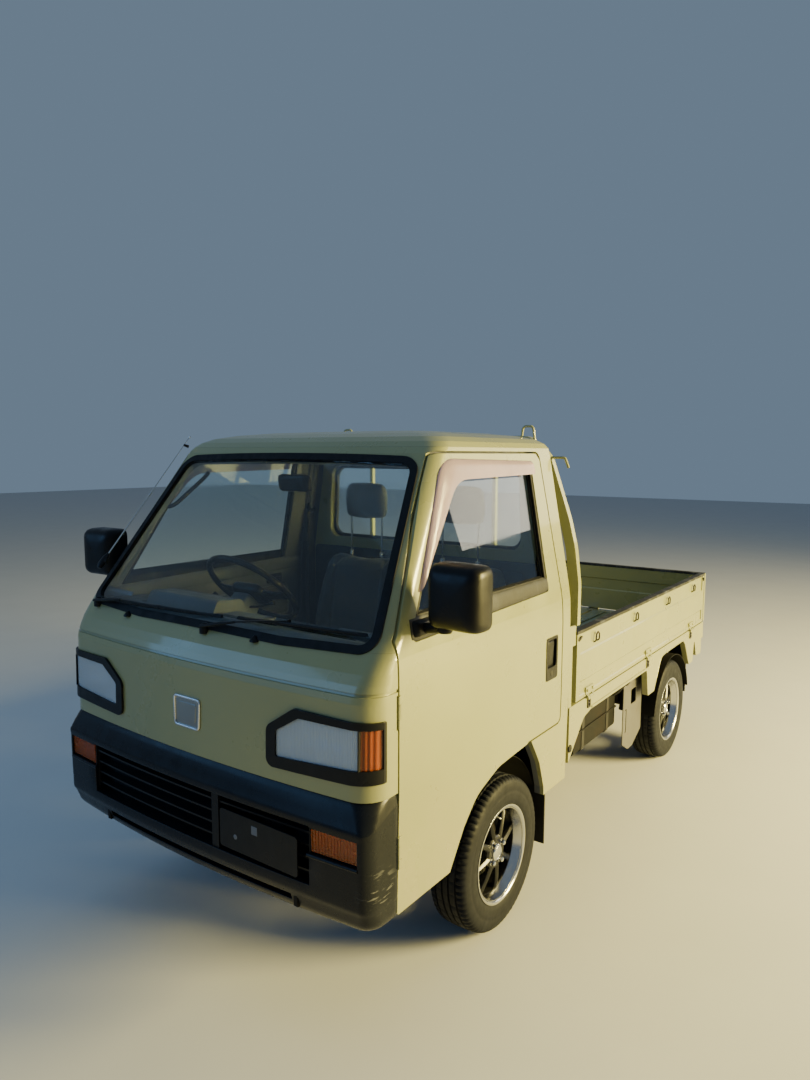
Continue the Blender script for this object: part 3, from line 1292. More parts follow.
def seats():
    middle = SEAT_MIDDLES["right"]
    soft = {"cushion": blown(cushion_shape(middle), "seat_cushion_right", on_cushion_seam(middle)),
            "back": blown(back_shape(middle), "seat_back_right", on_back_seam(middle)),
            "headrest": blown(headrest_shape(middle), "headrest_right", never, 0.007, 0.008, 3.0)}
    across = SEAT_MIDDLES["left"] - middle
    for kind, made in soft.items():
        name = "headrest_left" if kind == "headrest" else f"seat_{kind}_left"
        finish_soft(shifted_copy(made, name, across), CLOTH)
        finish_soft(made, CLOTH)
    for side_name, centre in SEAT_MIDDLES.items():
        posts = Shape()
        for shift in (-85, 85):
            posts.tube([(centre + shift, -434, 1190), (centre + shift, -434, 1380)], 5, 12)
            posts.lathe([(1203, 5.4), (1203, 13), (1219, 12), (1222, 9), (1222, 5.4)],
                        (centre + shift, -434, 0), "Z", 20)
        made = posts.piece(f"headrest_posts_{side_name}", CHROME, "truck", smooth=40)
        base = Shape()
        for x in (centre - 196, centre + 176):
            base.box(x, x + 20, -930, -560, 603, 622)
        base.box(centre - 205, centre + 205, -935, -915, 605, 621)
        base.tube([(centre - 150, -948, 618), (centre - 40, -950, 616), (centre - 20, -948, 618)], 5, 8)
        base.piece(f"seat_slides_{side_name}", CHASSIS, "truck", bevel=1.0)
        outer = 1 if centre > 0 else -1
        hinge = Shape()
        for x in (centre + 214, centre - 228):
            hinge.rings([[Vector((x + depth, y, z)) for y, z in
                          soft_outline(((-560, 640), (-470, 636), (-452, 760), (-492, 772), (-552, 700)),
                                       (12, 12, 12, 12, 12), 3)] for depth in (0, 14)])
        hinge.tube([(centre + outer * 232, -520, 690), (centre + outer * 240, -560, 700),
                    (centre + outer * 240, -600, 706)], [8, 7, 8], 10, 0.6)
        hinge.piece(f"seat_hinges_{side_name}", BLACK_FINE, "truck", bevel=2.0)
        if side_name == "right":
            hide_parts("seats")


# Dashboard, steering and controls

COLUMN_TILT = math.radians(45.0)


def on_column(u, v, w):
    """A point in the steering wheel's frame: across, up over the rim and out towards the driver."""
    return Vector((-230 + u, -1130 - v * math.cos(COLUMN_TILT) + w * math.sin(COLUMN_TILT),
                   1150 + v * math.sin(COLUMN_TILT) + w * math.cos(COLUMN_TILT)))


def steering():
    rim = Shape()
    rings = []
    for step in range(72):
        turn = 2 * math.pi * step / 72
        ring = []
        for k in range(14):
            t = 2 * math.pi * k / 14
            grip = 0.9 * math.cos(36 * turn) if math.sin(t) < 0 else 0.0
            radius = 182 + (12.2 + grip) * math.cos(t)
            ring.append(on_column(radius * math.cos(turn), radius * math.sin(turn), 12.0 * math.sin(t)))
        rings.append(ring)
    rim.rings(rings, closed_ends=False, loop=True)
    rim.piece("steering_rim", BLACK_FINE, "truck", smooth=60)
    hub = Shape()
    outline = soft_outline(((-88, -52), (88, -52), (74, 44), (-74, 44)), (26, 26, 30, 30), 6)
    hub.rings([[on_column(u, v, w) for u, v in scaled(outline, (0, 0), size)] for size, w in
               ((0.80, -34), (0.96, -28), (1.0, -14), (0.97, -4), (0.86, 1), (0.55, 4), (0.2, 5))])
    hub.piece("steering_hub_pad", BLACK, "truck", smooth=50)
    spokes = Shape()
    for sign in (-1, 1):
        rings = []
        for u, high, low, w, thick in ((62, 22, -34, -12, 14), (100, 14, -26, -10, 12),
                                       (140, 8, -22, -6, 11), (172, 6, -28, 0, 13)):
            section = ((high, w - thick / 2), (high + 2, w), (high - 4, w + thick / 2),
                       (low + 4, w + thick / 2), (low - 2, w), (low, w - thick / 2))
            rings.append([on_column(sign * u, v, out) for v, out in section])
        spokes.rings(rings)
    made = spokes.piece("steering_spokes", BLACK_FINE, "truck", smooth=45, bevel=2.0)
    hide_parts("steering_wheel")
    cover = Shape()
    rings = []
    for w, half, high, low in ((-40, 36, 30, -34), (-46, 44, 36, -44), (-110, 46, 38, -56),
                               (-200, 44, 36, -50), (-300, 38, 32, -38), (-330, 34, 28, -34)):
        outline = soft_outline(((-half, low), (half, low), (half, high), (-half, high)), (14, 14, 16, 16),
                               3)
        rings.append([on_column(u, v, w) for u, v in outline])
    cover.rings(rings)
    cover.tube([on_column(0, 0, -320), on_column(0, 0, -590)], 14, 14)
    cover.piece("steering_column_cover", GREY, "truck", smooth=45)
    stalks = Shape()
    for sign in (-1, 1):
        stalks.tube(rounded([on_column(sign * 36, 0, -78), on_column(sign * 90, 4, -72),
                             on_column(sign * 158, 14, -52)], 40), [6, 5.4, 5, 5, 5, 5.4, 8], 10)
    stalks.lathe([(-2, 1), (-2, 13), (8, 13), (10, 11), (10, 1)], on_column(46, -12, -150), "X", 20)
    stalks.piece("column_stalks", BLACK_FINE, "truck", smooth=40)


def dash_top(x, y, out=0.0):
    return Vector((x, y, 1118 - (y + 1440) * 6 / 140 + out))


def dash_front(x, z, out=0.0):
    """A point over the dashboard's face towards the seats, between its shelf and its top edge."""
    return Vector((x, between(((880, -1290), (1060, -1262)), z) + out, z))


def vent(shape, x0, x1, z0, z1, place):
    """A framed vent with its slats and a middle bar."""
    frame_ring(shape, corners(x0, x1, z0, z1, 5, 3), corners(x0 + 5, x1 - 5, z0 + 5, z1 - 5, 3, 3), place,
               -4, 4)
    slats = 5
    for index in range(slats):
        z = z0 + 5 + (z1 - z0 - 10) * (index + 0.5) / slats
        shape.rings([[place(x, z + dz, out) for dz, out in ((-1, -3), (2, 2), (2.6, 1), (-0.4, -4))]
                     for x in (x0 + 4, x1 - 4)])
    middle = (x0 + x1) / 2
    bar = ((-1.5, -3), (1.5, -3), (1.5, 2.4), (-1.5, 2.4))
    shape.rings([[place(middle + dx, z, out) for dx, out in bar] for z in (z0 + 4, z1 - 4)])


def on_cluster(x, z, out):
    """A point over the leaning face of the instruments."""
    return Vector((x, -1264 - (z - 1075) * 0.35 + out, z))


def dashboard():
    vents = Shape()
    for x0, x1 in ((-612, -520), (-88, 2), (10, 70), (560, 622)):
        vent(vents, x0, x1, 1000, 1046, dash_front)
    for x0, x1 in ((-500, -250), (-180, 180), (250, 500)):
        for index in range(3):
            y = -1418 + index * 10
            vents.rings([[dash_top(x, y + dy, out) for dy, out in ((0, 0.2), (5, 0.2), (5, 2.6), (0, 2.0))]
                         for x in (x0, x1)])
    vents.piece("dash_vents", BLACK_FINE, "truck", bevel=0.4)
    cluster = Shape()
    frame_ring(cluster, corners(-455, -125, 1076, 1148, 16, 4), corners(-440, -140, 1084, 1142, 10, 4),
               on_cluster, -2, 8)
    cluster.piece("cluster_frame", BLACK, "truck", bevel=1.5)
    dials = Shape()
    skin_piece(dials, corners(-440, -140, 1084, 1142, 10, 4), on_cluster, -1, 1.5)
    dials.piece("cluster_face", BLACK_FINE, "truck")
    rings = Shape()
    for x, radius in ((-350, 27), (-255, 27), (-182, 16)):
        spot = on_cluster(x, 1113, 2.2)
        rings.lathe([(0, radius), (1.6, radius), (1.6, radius - 1.6), (0, radius - 1.6)], spot, "Y", 40)
        rings.tube([spot + Vector((0, 1, 0)), spot + Vector((-radius * 0.5, 0.5, radius * 0.55))], 1.0, 6)
    rings.piece("cluster_dials", BRUSHED, "truck", smooth=30)
    radio = Shape()
    skin_piece(radio, corners(-84, 76, 912, 966, 4, 3), dash_front, -1, 3)
    for x in (-70, 62):
        radio.lathe([(0, 1), (0, 9), (12, 8), (13, 1)], dash_front(x, 939, 3), "Y", 20)
    skin_piece(radio, corners(-48, 42, 944, 960, 2, 2), dash_front, 2, 5)
    for index in range(5):
        skin_piece(radio, corners(-46 + index * 18, -31 + index * 18, 918, 930, 1.5, 2), dash_front, 2, 5.5)
    radio.piece("dash_radio", BLACK_FINE, "truck", bevel=0.5)
    knobs = Shape()
    for x in (-60, -4, 52):
        knobs.lathe([(0, 1), (0, 15), (4, 14), (14, 12), (16, 10), (16, 1)], dash_front(x, 984, 0), "Y", 24)
    knobs.piece("heater_knobs", BLACK_FINE, "truck", smooth=40)
    lid = Shape()
    skin_piece(lid, corners(110, 540, 998, 1052, 8, 4), dash_front, -1, 3.5)
    lid.piece("glovebox_lid", GREY, "truck", bevel=1.5)
    catch = Shape()
    skin_piece(catch, corners(300, 350, 1036, 1047, 3, 3), dash_front, 3, 8)
    catch.piece("glovebox_catch", BLACK_FINE, "truck", bevel=1.2)


def floor_controls():
    levers = Shape()
    gear = (-42, -1060, 604)
    levers.tube(rounded([gear, (-42, -1064, 700), (-50, -1046, 800)], 60), 6, 12)
    levers.lathe([(792, 1), (792, 14), (806, 22), (822, 23), (836, 17), (841, 1)], (-50, -1045, 0), "Z", 24)
    levers.tube(rounded([(45, -1075, 610), (45, -1052, 668), (45, -968, 748)], 40), [8, 7, 7, 7, 7, 7, 9],
                12)
    levers.lathe([(6, 1), (6, 10), (14, 10), (16, 8), (16, 1)], (45, -966, 740), "Z", 16)
    levers.piece("gear_and_brake_levers", BLACK_FINE, "truck", smooth=45)
    boot = Shape()
    boot.lathe([(604, 62), (607, 62), (610, 54), (620, 46), (628, 50), (636, 38), (644, 40), (652, 24),
                (660, 26), (672, 11), (690, 8), (690, 2), (604, 2)], (-42, -1060, 0), "Z", 32)
    boot.prism(corners(20, 70, -1100, -1030, 10, 3), "Z", (604, 622))
    boot.piece("lever_boots", RUBBER, "truck", smooth=40)
    pedals = Shape()
    for x, width in ((-370, 46), (-262, 52), (-160, 40)):
        pedals.tube(rounded([(x, -1500, 860), (x, -1478, 700), (x, -1440, 566)], 60), 6.5, 10)
        pad = Matrix.Rotation(math.radians(-38), 3, "X")
        pedals.box(x - width / 2, x + width / 2, -1446, -1434, 522, 592 if width > 42 else 622, pad)
    pedals.piece("pedals", BLACK_FINE, "truck", bevel=2.0)
    mats = Shape()
    for x0, x1 in ((-575, -60), (60, 575)):
        outline = corners(x0, x1, -1520, -1165, 40, 4)
        mats.prism(outline, "Z", (436, 443))
        for index in range(9):
            y = -1490 + index * 38
            mats.box(x0 + 30, x1 - 30, y, y + 12, 442, 446)
    mats.piece("floor_mats", RUBBER, "truck", bevel=1.5)
    carpet = Shape()
    carpet.prism(corners(-585, 585, -1146, -952, 20, 3), "Z", (604, 609))
    carpet.prism(corners(-590, 590, 440, 603, 12, 3), "Y", (-1156, -1150))
    carpet.piece("deck_carpet", CARPET, "truck", bevel=1.5)


def cab_lining():
    liner = Shape()
    rings = []
    for y, half, edge, rise in ((-1058, 470, 1657, 12), (-1000, 500, 1668, 18), (-900, 520, 1674, 18),
                                (-620, 522, 1675, 18), (-470, 515, 1672, 16), (-402, 500, 1664, 10)):
        top = [Vector((half * k / 8, y, edge + rise * (1 - (k / 8) ** 2))) for k in range(-8, 9)]
        rings.append(top + [point + Vector((0, 0, -4)) for point in top[::-1]])
    liner.rings(rings)
    liner.piece("headliner", LINER, "truck", smooth=50)
    rear = Shape()
    outline = corners(-585, 585, 612, 1228, 24, 4)
    rear.prism(outline, "Y", (-392.2, -397))
    for x in (-360, 0, 360):
        rear.prism(corners(x - 150, x + 150, 660, 1190, 16, 3), "Y", (-396, -400))
    rear.piece("rear_wall_trim", REAR_TRIM, "truck", bevel=2.0)
    mirror = Shape()
    middle = (-4, 1549.5)
    outline = corners(-77, 69, 1519, 1580, 20, 5)

    def leaning(size, y):
        sized = scaled(outline, middle, size)
        return [Vector((x, y + (1550 - z) * 0.12, sized_z)) for (x, sized_z), (_, z) in zip(sized, outline)]

    mirror.rings([leaning(size, y) for size, y in ((0.75, -1150), (0.92, -1146), (1.0, -1137),
                                                   (1.0, -1127), (0.97, -1125), (0.94, -1127))])
    mirror.tube(rounded([(-4, -1140, 1560), (-4, -1142, 1600), (-4, -1118, 1640)], 16), 6, 12)
    mirror.lathe([(1636, 1), (1636, 17), (1646, 20), (1652, 20), (1652, 1)], (-4, -1114, 0), "Z", 20)
    mirror.piece("inner_mirror", BLACK_FINE, "truck", smooth=45)
    glass = Shape()
    glass.rings([leaning(0.93, y) for y in (-1127, -1125)])
    glass.piece("inner_mirror_glass", MIRROR, "truck")
    visors = Shape()
    for side in (-1, 1):
        x0, x1 = sorted((side * 90, side * 470))
        rings = []
        for share in range(7):
            t = share / 6
            y = -1092 + 120 * t
            z = 1633 + 24 * t
            thick = 9 if 0 < share < 6 else 4
            section = ((x0 + 8, -thick), (x0, 0), (x0 + 8, thick), (x1 - 8, thick), (x1, 0),
                       (x1 - 8, -thick))
            rings.append([Vector((x, y, z + dz)) for x, dz in section])
        visors.rings(rings)
        visors.tube([(side * 476, -1094, 1640), (side * 80, -1094, 1636)], 4, 8)
    visors.piece("sun_visors", LINER, "truck", smooth=50, bevel=2.0)
    handle = Shape()
    handle.tube(rounded([(-598, -1215, 1446), (-574, -1205, 1452), (-556, -1070, 1556),
                         (-572, -1040, 1572)], 26), [9] + [8] * 10 + [9], 12)
    handle.piece("grab_handle", BLACK_FINE, "truck", smooth=45)


def belts():
    for side_name, side in SIDES:
        web = Shape()
        path = [Vector((596, -414, 1392)), Vector((584, -424, 1200)), Vector((574, -430, 900)),
                Vector((570, -436, 640))]
        rings = [[point + Vector((0.8 * out, across * 23, 0)) for across, out in
                  ((-1, -1), (1, -1), (1, 1), (-1, 1))] for point in path]
        web.rings(rings)
        web.piece(f"belt_webbing_{side_name}", WEBBING, "truck", side, bevel=0.5)
        ring = Shape()
        ring.lathe([(590, 1), (590, 19), (599, 22), (603, 22), (603, 1)], (0, -414, 1404), "X", 24)
        ring.tube([(592, -438, 1396), (588, -438, 1384), (588, -390, 1384), (592, -390, 1396)], 3, 8)
        ring.prism(corners(548, 594, -470, -402, 10, 3), "Z", (606, 680))
        ring.piece(f"belt_fittings_{side_name}", BLACK_FINE, "truck", side, bevel=1.5)
        buckle = Shape()
        buckle.stack([(z, corners(16, 32, -560 + lean, -520 + lean, 5, 3)) for z, lean in
                      ((722, 0), (752, -6), (776, -14))], "Z")
        buckle.piece(f"belt_buckle_{side_name}", BLACK_FINE, "truck", side, bevel=1.5)


def pillar_trims():
    """Plastic covers inside the rear pillars."""
    for side_name, side in SIDES:
        rear = Shape()
        rings = []
        for z in (1236, 1240, 1640, 1646):
            x = between(SIDE_ROWS, z) - 47
            grow = 4 if z in (1236, 1646) else 0
            rings.append([Vector((x + dx, y, z)) for dx, y in
                          ((-1 - grow / 2, -396), (-4 + grow / 2, -400), (-5 + grow / 2, -418 + grow),
                           (-1, -424 + grow), (6, -424 + grow), (6, -396))])
        rear.rings(rings)
        rear.piece(f"rear_pillar_trim_{side_name}", GREY, "truck", side, smooth=40, bevel=1.0)


def cab_inside():
    seats()
    steering()
    dashboard()
    floor_controls()
    cab_lining()
    belts()
    pillar_trims()


# Load bed


def gate_caps():
    for side_name, side in SIDES:
        cap = Shape()
        cap.prism(((660.5, 936), (694.6, 940), (695.2, 941), (695.2, 951), (693.5, 952.6), (662, 952.6),
                   (660.4, 951)), "Y", (-272, 1601))
        cap.piece(f"side_gate_cap_{side_name}", WORN_RAIL, f"side_gate_{side_name}", side, bevel=1.0)
    cap = Shape()
    cap.prism(((1608, 938), (1635, 938), (1636, 941), (1636, 951), (1634.5, 952.6), (1610, 952.6),
               (1608.4, 951)), "X", (-692, 692))
    cap.piece("tailgate_cap", WORN_RAIL, "tailgate", bevel=1.0)


HINGE_YS = (-130, 615, 1360)


def hinge_straps(shape, axis, foot, thick, places):
    """Hinge straps with two bolts each, standing on a gate's face."""
    top = foot + thick - 0.5
    for place in places:
        shape.prism(corners(place - 42, place + 42, 668, 700, 6, 3), axis, (foot, foot + thick))
        for along in (place - 28, place + 28):
            spot = (0, along, 686) if axis == "X" else (along, 0, 686)
            shape.lathe([(top, 0.5), (top, 6.5), (top + 4, 6.5), (top + 5, 5), (top + 5, 0.5)], spot,
                        axis, 6)


def gate_hardware():
    for side_name, side in SIDES:
        body = f"side_gate_{side_name}"
        hooks = Shape()
        for y in (-69, 417, 906, 1375):
            hooks.tube(rounded([(688, y - 17, 876), (699, y - 17, 880), (700, y - 16, 906), (700, y, 918),
                                (700, y + 16, 906), (699, y + 17, 880), (688, y + 17, 876)], 6, 4), 3.4, 8)
        hooks.piece(f"gate_rope_hooks_{side_name}", DARK_STEEL, body, side, smooth=45)
        latch = Shape()
        for y0, y1, lean in ((-268, -238, 1), (1566, 1598, -1)):
            outline = soft_outline(((y0, 905), (y1, 905), (y1, 934), (y0, 934)), (4, 4, 4, 4), 3)
            latch.prism(outline, "X", (688.8, 693.5))
            middle = (y0 + y1) / 2
            latch.tube([(694, middle, 918), (698, middle + lean * 4, 922),
                        (700, middle + lean * 16, 930)], [6, 5, 4], 10)
            latch.lathe([(693, 1), (693, 9), (697, 8), (698, 1)], (0, middle, 918), "X", 18)
        latch.piece(f"gate_latches_{side_name}", DARK_STEEL, body, side, bevel=0.8)
        straps = Shape()
        hinge_straps(straps, "X", 690, 6.5, HINGE_YS)
        straps.piece(f"gate_hinge_straps_{side_name}", PAINT, body, side, bevel=1.0)
        plates = Shape()
        for y in HINGE_YS:
            plates.prism(corners(y - 15, y + 15, 606, 650, 4, 3), "X", (691, 696))
            for z in (620, 637):
                plates.lathe([(695.5, 0.5), (695.5, 6), (699.5, 6), (700, 5), (700, 0.5)], (0, y, z), "X",
                             6)
        plates.piece(f"hinge_plates_{side_name}", DARK_STEEL, "truck", side, bevel=0.8)


def tail_lamps():
    """Three-part lamps: red outside, amber and white further in, in a black housing with its screws."""
    made = None
    for side_name, side in SIDES:
        housing = Shape()
        housing.stack(shrinking((500, 680, 566, 640), 9, 4,
                                ((1632.2, 0), (1639, 0), (1641, 1.5), (1641, 4.5), (1637, 5))), "Y")
        housing.piece(f"tail_lamp_housing_{side_name}", BLACK_FINE, "truck", side, smooth=40)
        for x0, x1, look, name in ((506, 556, CLEAR_LENS, "white"), (557.5, 612, AMBER, "amber"),
                                   (613.5, 674, RED, "red")):
            lens = Shape()
            lens.stack(shrinking((x0, x1, 572, 634), 4, 3,
                                 ((1636, 0), (1642.5, 0), (1644.6, 0.8), (1645.7, 2.6), (1645.9, 6))), "Y")
            made = lens.piece(f"tail_lens_{name}_{side_name}", look, "truck", side, smooth=40)
        screws = Shape()
        for x in (510, 670):
            screws.lathe([(1644, 0.4), (1644, 3.4), (1646, 3), (1646, 0.4)], (x, 0, 578), "Y", 12)
        screws.piece(f"tail_lamp_screws_{side_name}", BRUSHED, "truck", side)
    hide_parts("tail_lamps")


def tail_trim():
    """The tailgate's hinge straps and end catches, and the bare plate bracket with its lamp."""
    straps = Shape()
    hinge_straps(straps, "Y", 1631, 5.5, (-520, 0, 520))
    straps.piece("tailgate_hinge_straps", PAINT, "tailgate", bevel=1.0)
    catches = Shape()
    for side in (-1, 1):
        middle = side * 668
        outline = corners(middle - 15, middle + 15, 888, 930, 5, 3)
        catches.prism(outline, "Y", (1629, 1635))
        catches.tube([(middle, 1636, 908), (middle - side * 6, 1640, 912),
                      (middle - side * 34, 1641, 912)], [6, 5, 4], 10)
        catches.lathe([(1634, 1), (1634, 9), (1639, 8), (1640, 1)], (middle, 0, 908), "Y", 18)
    catches.piece("tailgate_catches", DARK_STEEL, "tailgate", bevel=0.8)
    bracket = Shape()
    bracket.prism(corners(-120, 120, 566, 596, 6, 3), "Y", (1631, 1635))
    for x in (-105, 105):
        bracket.lathe([(1634, 0.5), (1634, 5.5), (1637, 5), (1637, 0.5)], (x, 0, 578), "Y", 6)
    bracket.piece("rear_bracket", DARK_STEEL, "truck", bevel=0.8)
    lamp = Shape()
    lamp.stack([(y, corners(-38 + grow, 38 - grow, 606 + grow / 2, 632 - grow / 2, 7, 3)) for y, grow in
                ((1631, 0), (1640, 1), (1644, 5))], "Y")
    lamp.piece("rear_bracket_lamp", BLACK_FINE, "truck", bevel=1.0, smooth=40)


def skirt_trim():
    """Caps and folded edges on the bed's lower sides."""
    for side_name, side in SIDES:
        cap = Shape()
        cap.lathe([(690, 1), (690, 15), (693, 16), (696, 14), (697, 9), (697, 1)], (0, -314, 486), "X", 28)
        cap.piece(f"quarter_cap_{side_name}", RUBBER, "truck", side, smooth=35)
        lip = Shape()
        arch = [(705, 408), (768, 508), (815, 582), (845, 612), (900, 617), (1180, 620), (1235, 620),
                (1275, 585), (1330, 500), (1388, 408)]
        lip.tube(rounded([(689.5, y, z) for y, z in arch if z > 456], 40), 4.0, 8)
        lip.piece(f"arch_lip_{side_name}", PAINT, "truck", side, smooth=50)
        rail = Shape()
        rail.prism(((690, 596), (695, 594), (696, 600), (695, 606), (690, 604)), "Y", (-96, 604))
        rail.piece(f"skirt_fold_{side_name}", PAINT, "truck", side, bevel=1.0)


def guard_details():
    """The front wall's pressed ribs and worn cap, and the window bars' and rope loops' feet."""
    ribs = Shape()
    for x in (-560, -340, -120, 120, 340, 560):
        ribs.prism(((x - 42, -306.5), (x - 30, -300), (x + 30, -300), (x + 42, -306.5)), "Z",
                   (676, 690, 948, 962))
    ribs.piece("front_wall_ribs", BED_PAINT, "truck", bevel=2.0, smooth=40)
    cap = Shape()
    cap.prism(((-338, 972), (-304, 972), (-303, 976), (-303, 986), (-306, 988.5), (-335, 988.5),
               (-338, 986)), "X", (-636, 636))
    cap.piece("front_wall_cap", WORN_RAIL, "truck", bevel=1.0)
    feet = Shape()
    for x in (-320, 0, 320):
        for z in (1212, 1698):
            feet.lathe([(z - 4, 1), (z - 4, 15), (z + 1, 14), (z + 4, 9), (z + 4, 1)], (x, -290, 0), "Z",
                       20)
    for side in (-1, 1):
        for x, z in ((500, 1697), (440, 1707)):
            feet.lathe([(z - 6, 1), (z - 6, 9), (z + 2, 9), (z + 5, 6), (z + 5, 1)], (side * x, -290, 0),
                       "Z", 16)
        for z in (1000, 1120):
            feet.lathe([(-12, 0.5), (-12, 9), (-8, 9), (-7, 7), (-7, 0.5)], (side * 686, -264, z), "Y", 6)
    feet.piece("guard_feet", GUARD_PAINT, "truck", smooth=35)


def floor_pressing():
    """Edge angles and bolts of the bed's floor."""
    angle = Shape()
    section = ((628, 660), (658, 660), (658, 676), (654, 676), (653, 664), (628, 663))
    for side in (-1, 1):
        angle.prism([(side * x, z) for x, z in section], "Y", (-272, 1596))
    angle.prism(((-304, 660), (-272, 660), (-272, 663), (-299, 664), (-300, 682), (-304, 682)), "X",
                (-650, 650))
    for x in range(-564, 565, 188):
        for y in (-180, 420, 1020, 1540):
            angle.lathe([(664.5, 0.5), (664.5, 9), (667, 7.5), (667.5, 0.5)], (x, y, 0), "Z", 12)
    angle.piece("bed_edge_angles", BED_PAINT, "truck", bevel=0.8)


def bed():
    gate_caps()
    gate_hardware()
    tail_lamps()
    tail_trim()
    skirt_trim()
    guard_details()
    floor_pressing()


# Underbody


def exhaust_trim():
    straps = Shape()
    for x in (-170, 150):
        straps.lathe([(x - 11, 78.4), (x - 11, 81), (x + 11, 81), (x + 11, 78.4)], (0, 1330, 400), "X", 48)
        straps.prism(corners(x - 11, x + 11, 1325, 1331, 1, 1), "Z", (478, 566))
        straps.lathe([(x - 14, 1), (x - 14, 13), (x + 14, 13), (x + 14, 1)], (0, 1328, 520), "X", 20)
    for x in (-249, 229):
        straps.lathe([(x - 2.5, 77), (x - 2.5, 81), (x + 2.5, 81), (x + 2.5, 77)], (0, 1330, 400), "X", 48)
    straps.lathe([(1150, 20.2), (1150, 33), (1158, 33), (1158, 20.2)], (-200, 0, 400), "Y", 24)
    straps.lathe([(1159, 20.2), (1159, 33), (1167, 33), (1167, 20.2)], (-200, 0, 400), "Y", 24)
    straps.piece("exhaust_straps", BARE_STEEL, "truck", smooth=35)


def tank_trim():
    straps = Shape()
    for y in (40, 330):
        frame_ring(straps, corners(369.5, 602.5, 337.5, 542.5, 27, 5),
                   corners(371.8, 600.2, 339.8, 540.2, 25, 5), lambda x, z, out: Vector((x, y + out, z)),
                   -14, 14)
    straps.piece("tank_straps", DARK_STEEL, "truck", bevel=0.5)
    filler = Shape()
    filler.tube(rounded([(560, 380, 500), (610, 400, 520), (640, 404, 560), (652, 404, 580)], 24), 17, 14)
    filler.tube([(648, 404, 572), (656, 404, 588)], [24, 26], 18)
    filler.piece("tank_filler", RUBBER, "truck", smooth=45)
    drain = Shape()
    drain.lathe([(331, 0.5), (331, 10), (340, 11), (341, 0.5)], (480, 180, 0), "Z", 6)
    drain.piece("tank_drain", BARE_STEEL, "truck")


def axle_trim():
    """Spring leaves' clips and U-bolts, dampers, brake backplates and a fluid line on the rear axle."""
    axle_y = AXLE_YS["rear"]
    for side_name, side in SIDES:
        bolts = Shape()
        for y in (axle_y - 34, axle_y + 34):
            for x in (420, 470):
                bolts.tube([(x, y, 216), (x, y, 352)], 5, 10)
                bolts.lathe([(218, 0.5), (218, 9), (227, 9), (227, 0.5)], (x, y, 0), "Z", 6)
            bolts.tube(rounded([(420, y, 340), (420, y, 352), (470, y, 352), (470, y, 340)], 10), 5, 10)
        bolts.prism(corners(408, 482, axle_y - 48, axle_y + 48, 6, 3), "Z", (227, 235))
        for y, z in ((840, 394), (1296, 394)):
            bolts.prism(corners(416, 474, z - 22, z + 10, 4, 3), "Y", (y - 8, y + 8))
        bolts.piece(f"spring_bolts_{side_name}", DARK_STEEL, "truck", side, smooth=35)
        damper = Shape()
        foot, top = Vector((396, 1040, 262)), Vector((376, 900, 566))
        axis = (top - foot).normalized()
        damper.tube([foot, foot + axis * 22, foot + axis * 24, foot + axis * 190], [10, 10, 23, 23], 18)
        damper.tube([foot + axis * 178, foot + axis * 188, foot + axis * 190, top], [27, 27, 9, 9], 18)
        damper.tube([foot + Vector((-14, 0, 0)), foot + Vector((14, 0, 0))], 14, 14)
        damper.tube([top + Vector((-14, 0, 0)), top + Vector((10, 0, 0))], 14, 14)
        damper.piece(f"rear_damper_{side_name}", BLACK, "truck", side, smooth=40)
        plate = Shape()
        plate.lathe([(534, 62), (534, 100), (541, 104), (541, 90), (537, 62)], (0, axle_y, WHEEL_Z), "X",
                    48)
        plate.piece(f"brake_backplate_{side_name}", DARK_STEEL, "truck", side, smooth=35)
    line = Shape()
    line.tube(rounded([(-520, 1100, 300), (-380, 1104, 304), (0, 1104, 304), (380, 1104, 304),
                       (520, 1100, 300)], 60), 3, 8)
    line.piece("axle_brake_line", BRUSHED, "truck", smooth=45)


def engine_trim():
    """Pan, ribs and a belt pulley on the plain engine block."""
    parts = Shape()
    parts.stack(shrinking((-190, 190, 680, 920), 22, 4,
                          ((206, 24), (196, 14), (188, 4), (189.5, 0), (214, 0)))[::-1], "Z")
    for index in range(9):
        x = -230 + index * 57.5
        parts.prism(((x - 4, 641), (x + 4, 641), (x + 2.5, 633), (x - 2.5, 633)), "Z", (240, 500))
    parts.piece("engine_ribs", ALLOY, "truck", bevel=1.5, smooth=35)
    pulley = Shape()
    pulley.lathe([(270, 1), (270, 52), (276, 54), (281, 46), (286, 54), (292, 52), (292, 30), (284, 26),
                  (284, 12), (296, 12), (296, 1)], (0, 790, 300), "X", 40)
    pulley.piece("engine_pulley", DARK_STEEL, "truck", smooth=35)


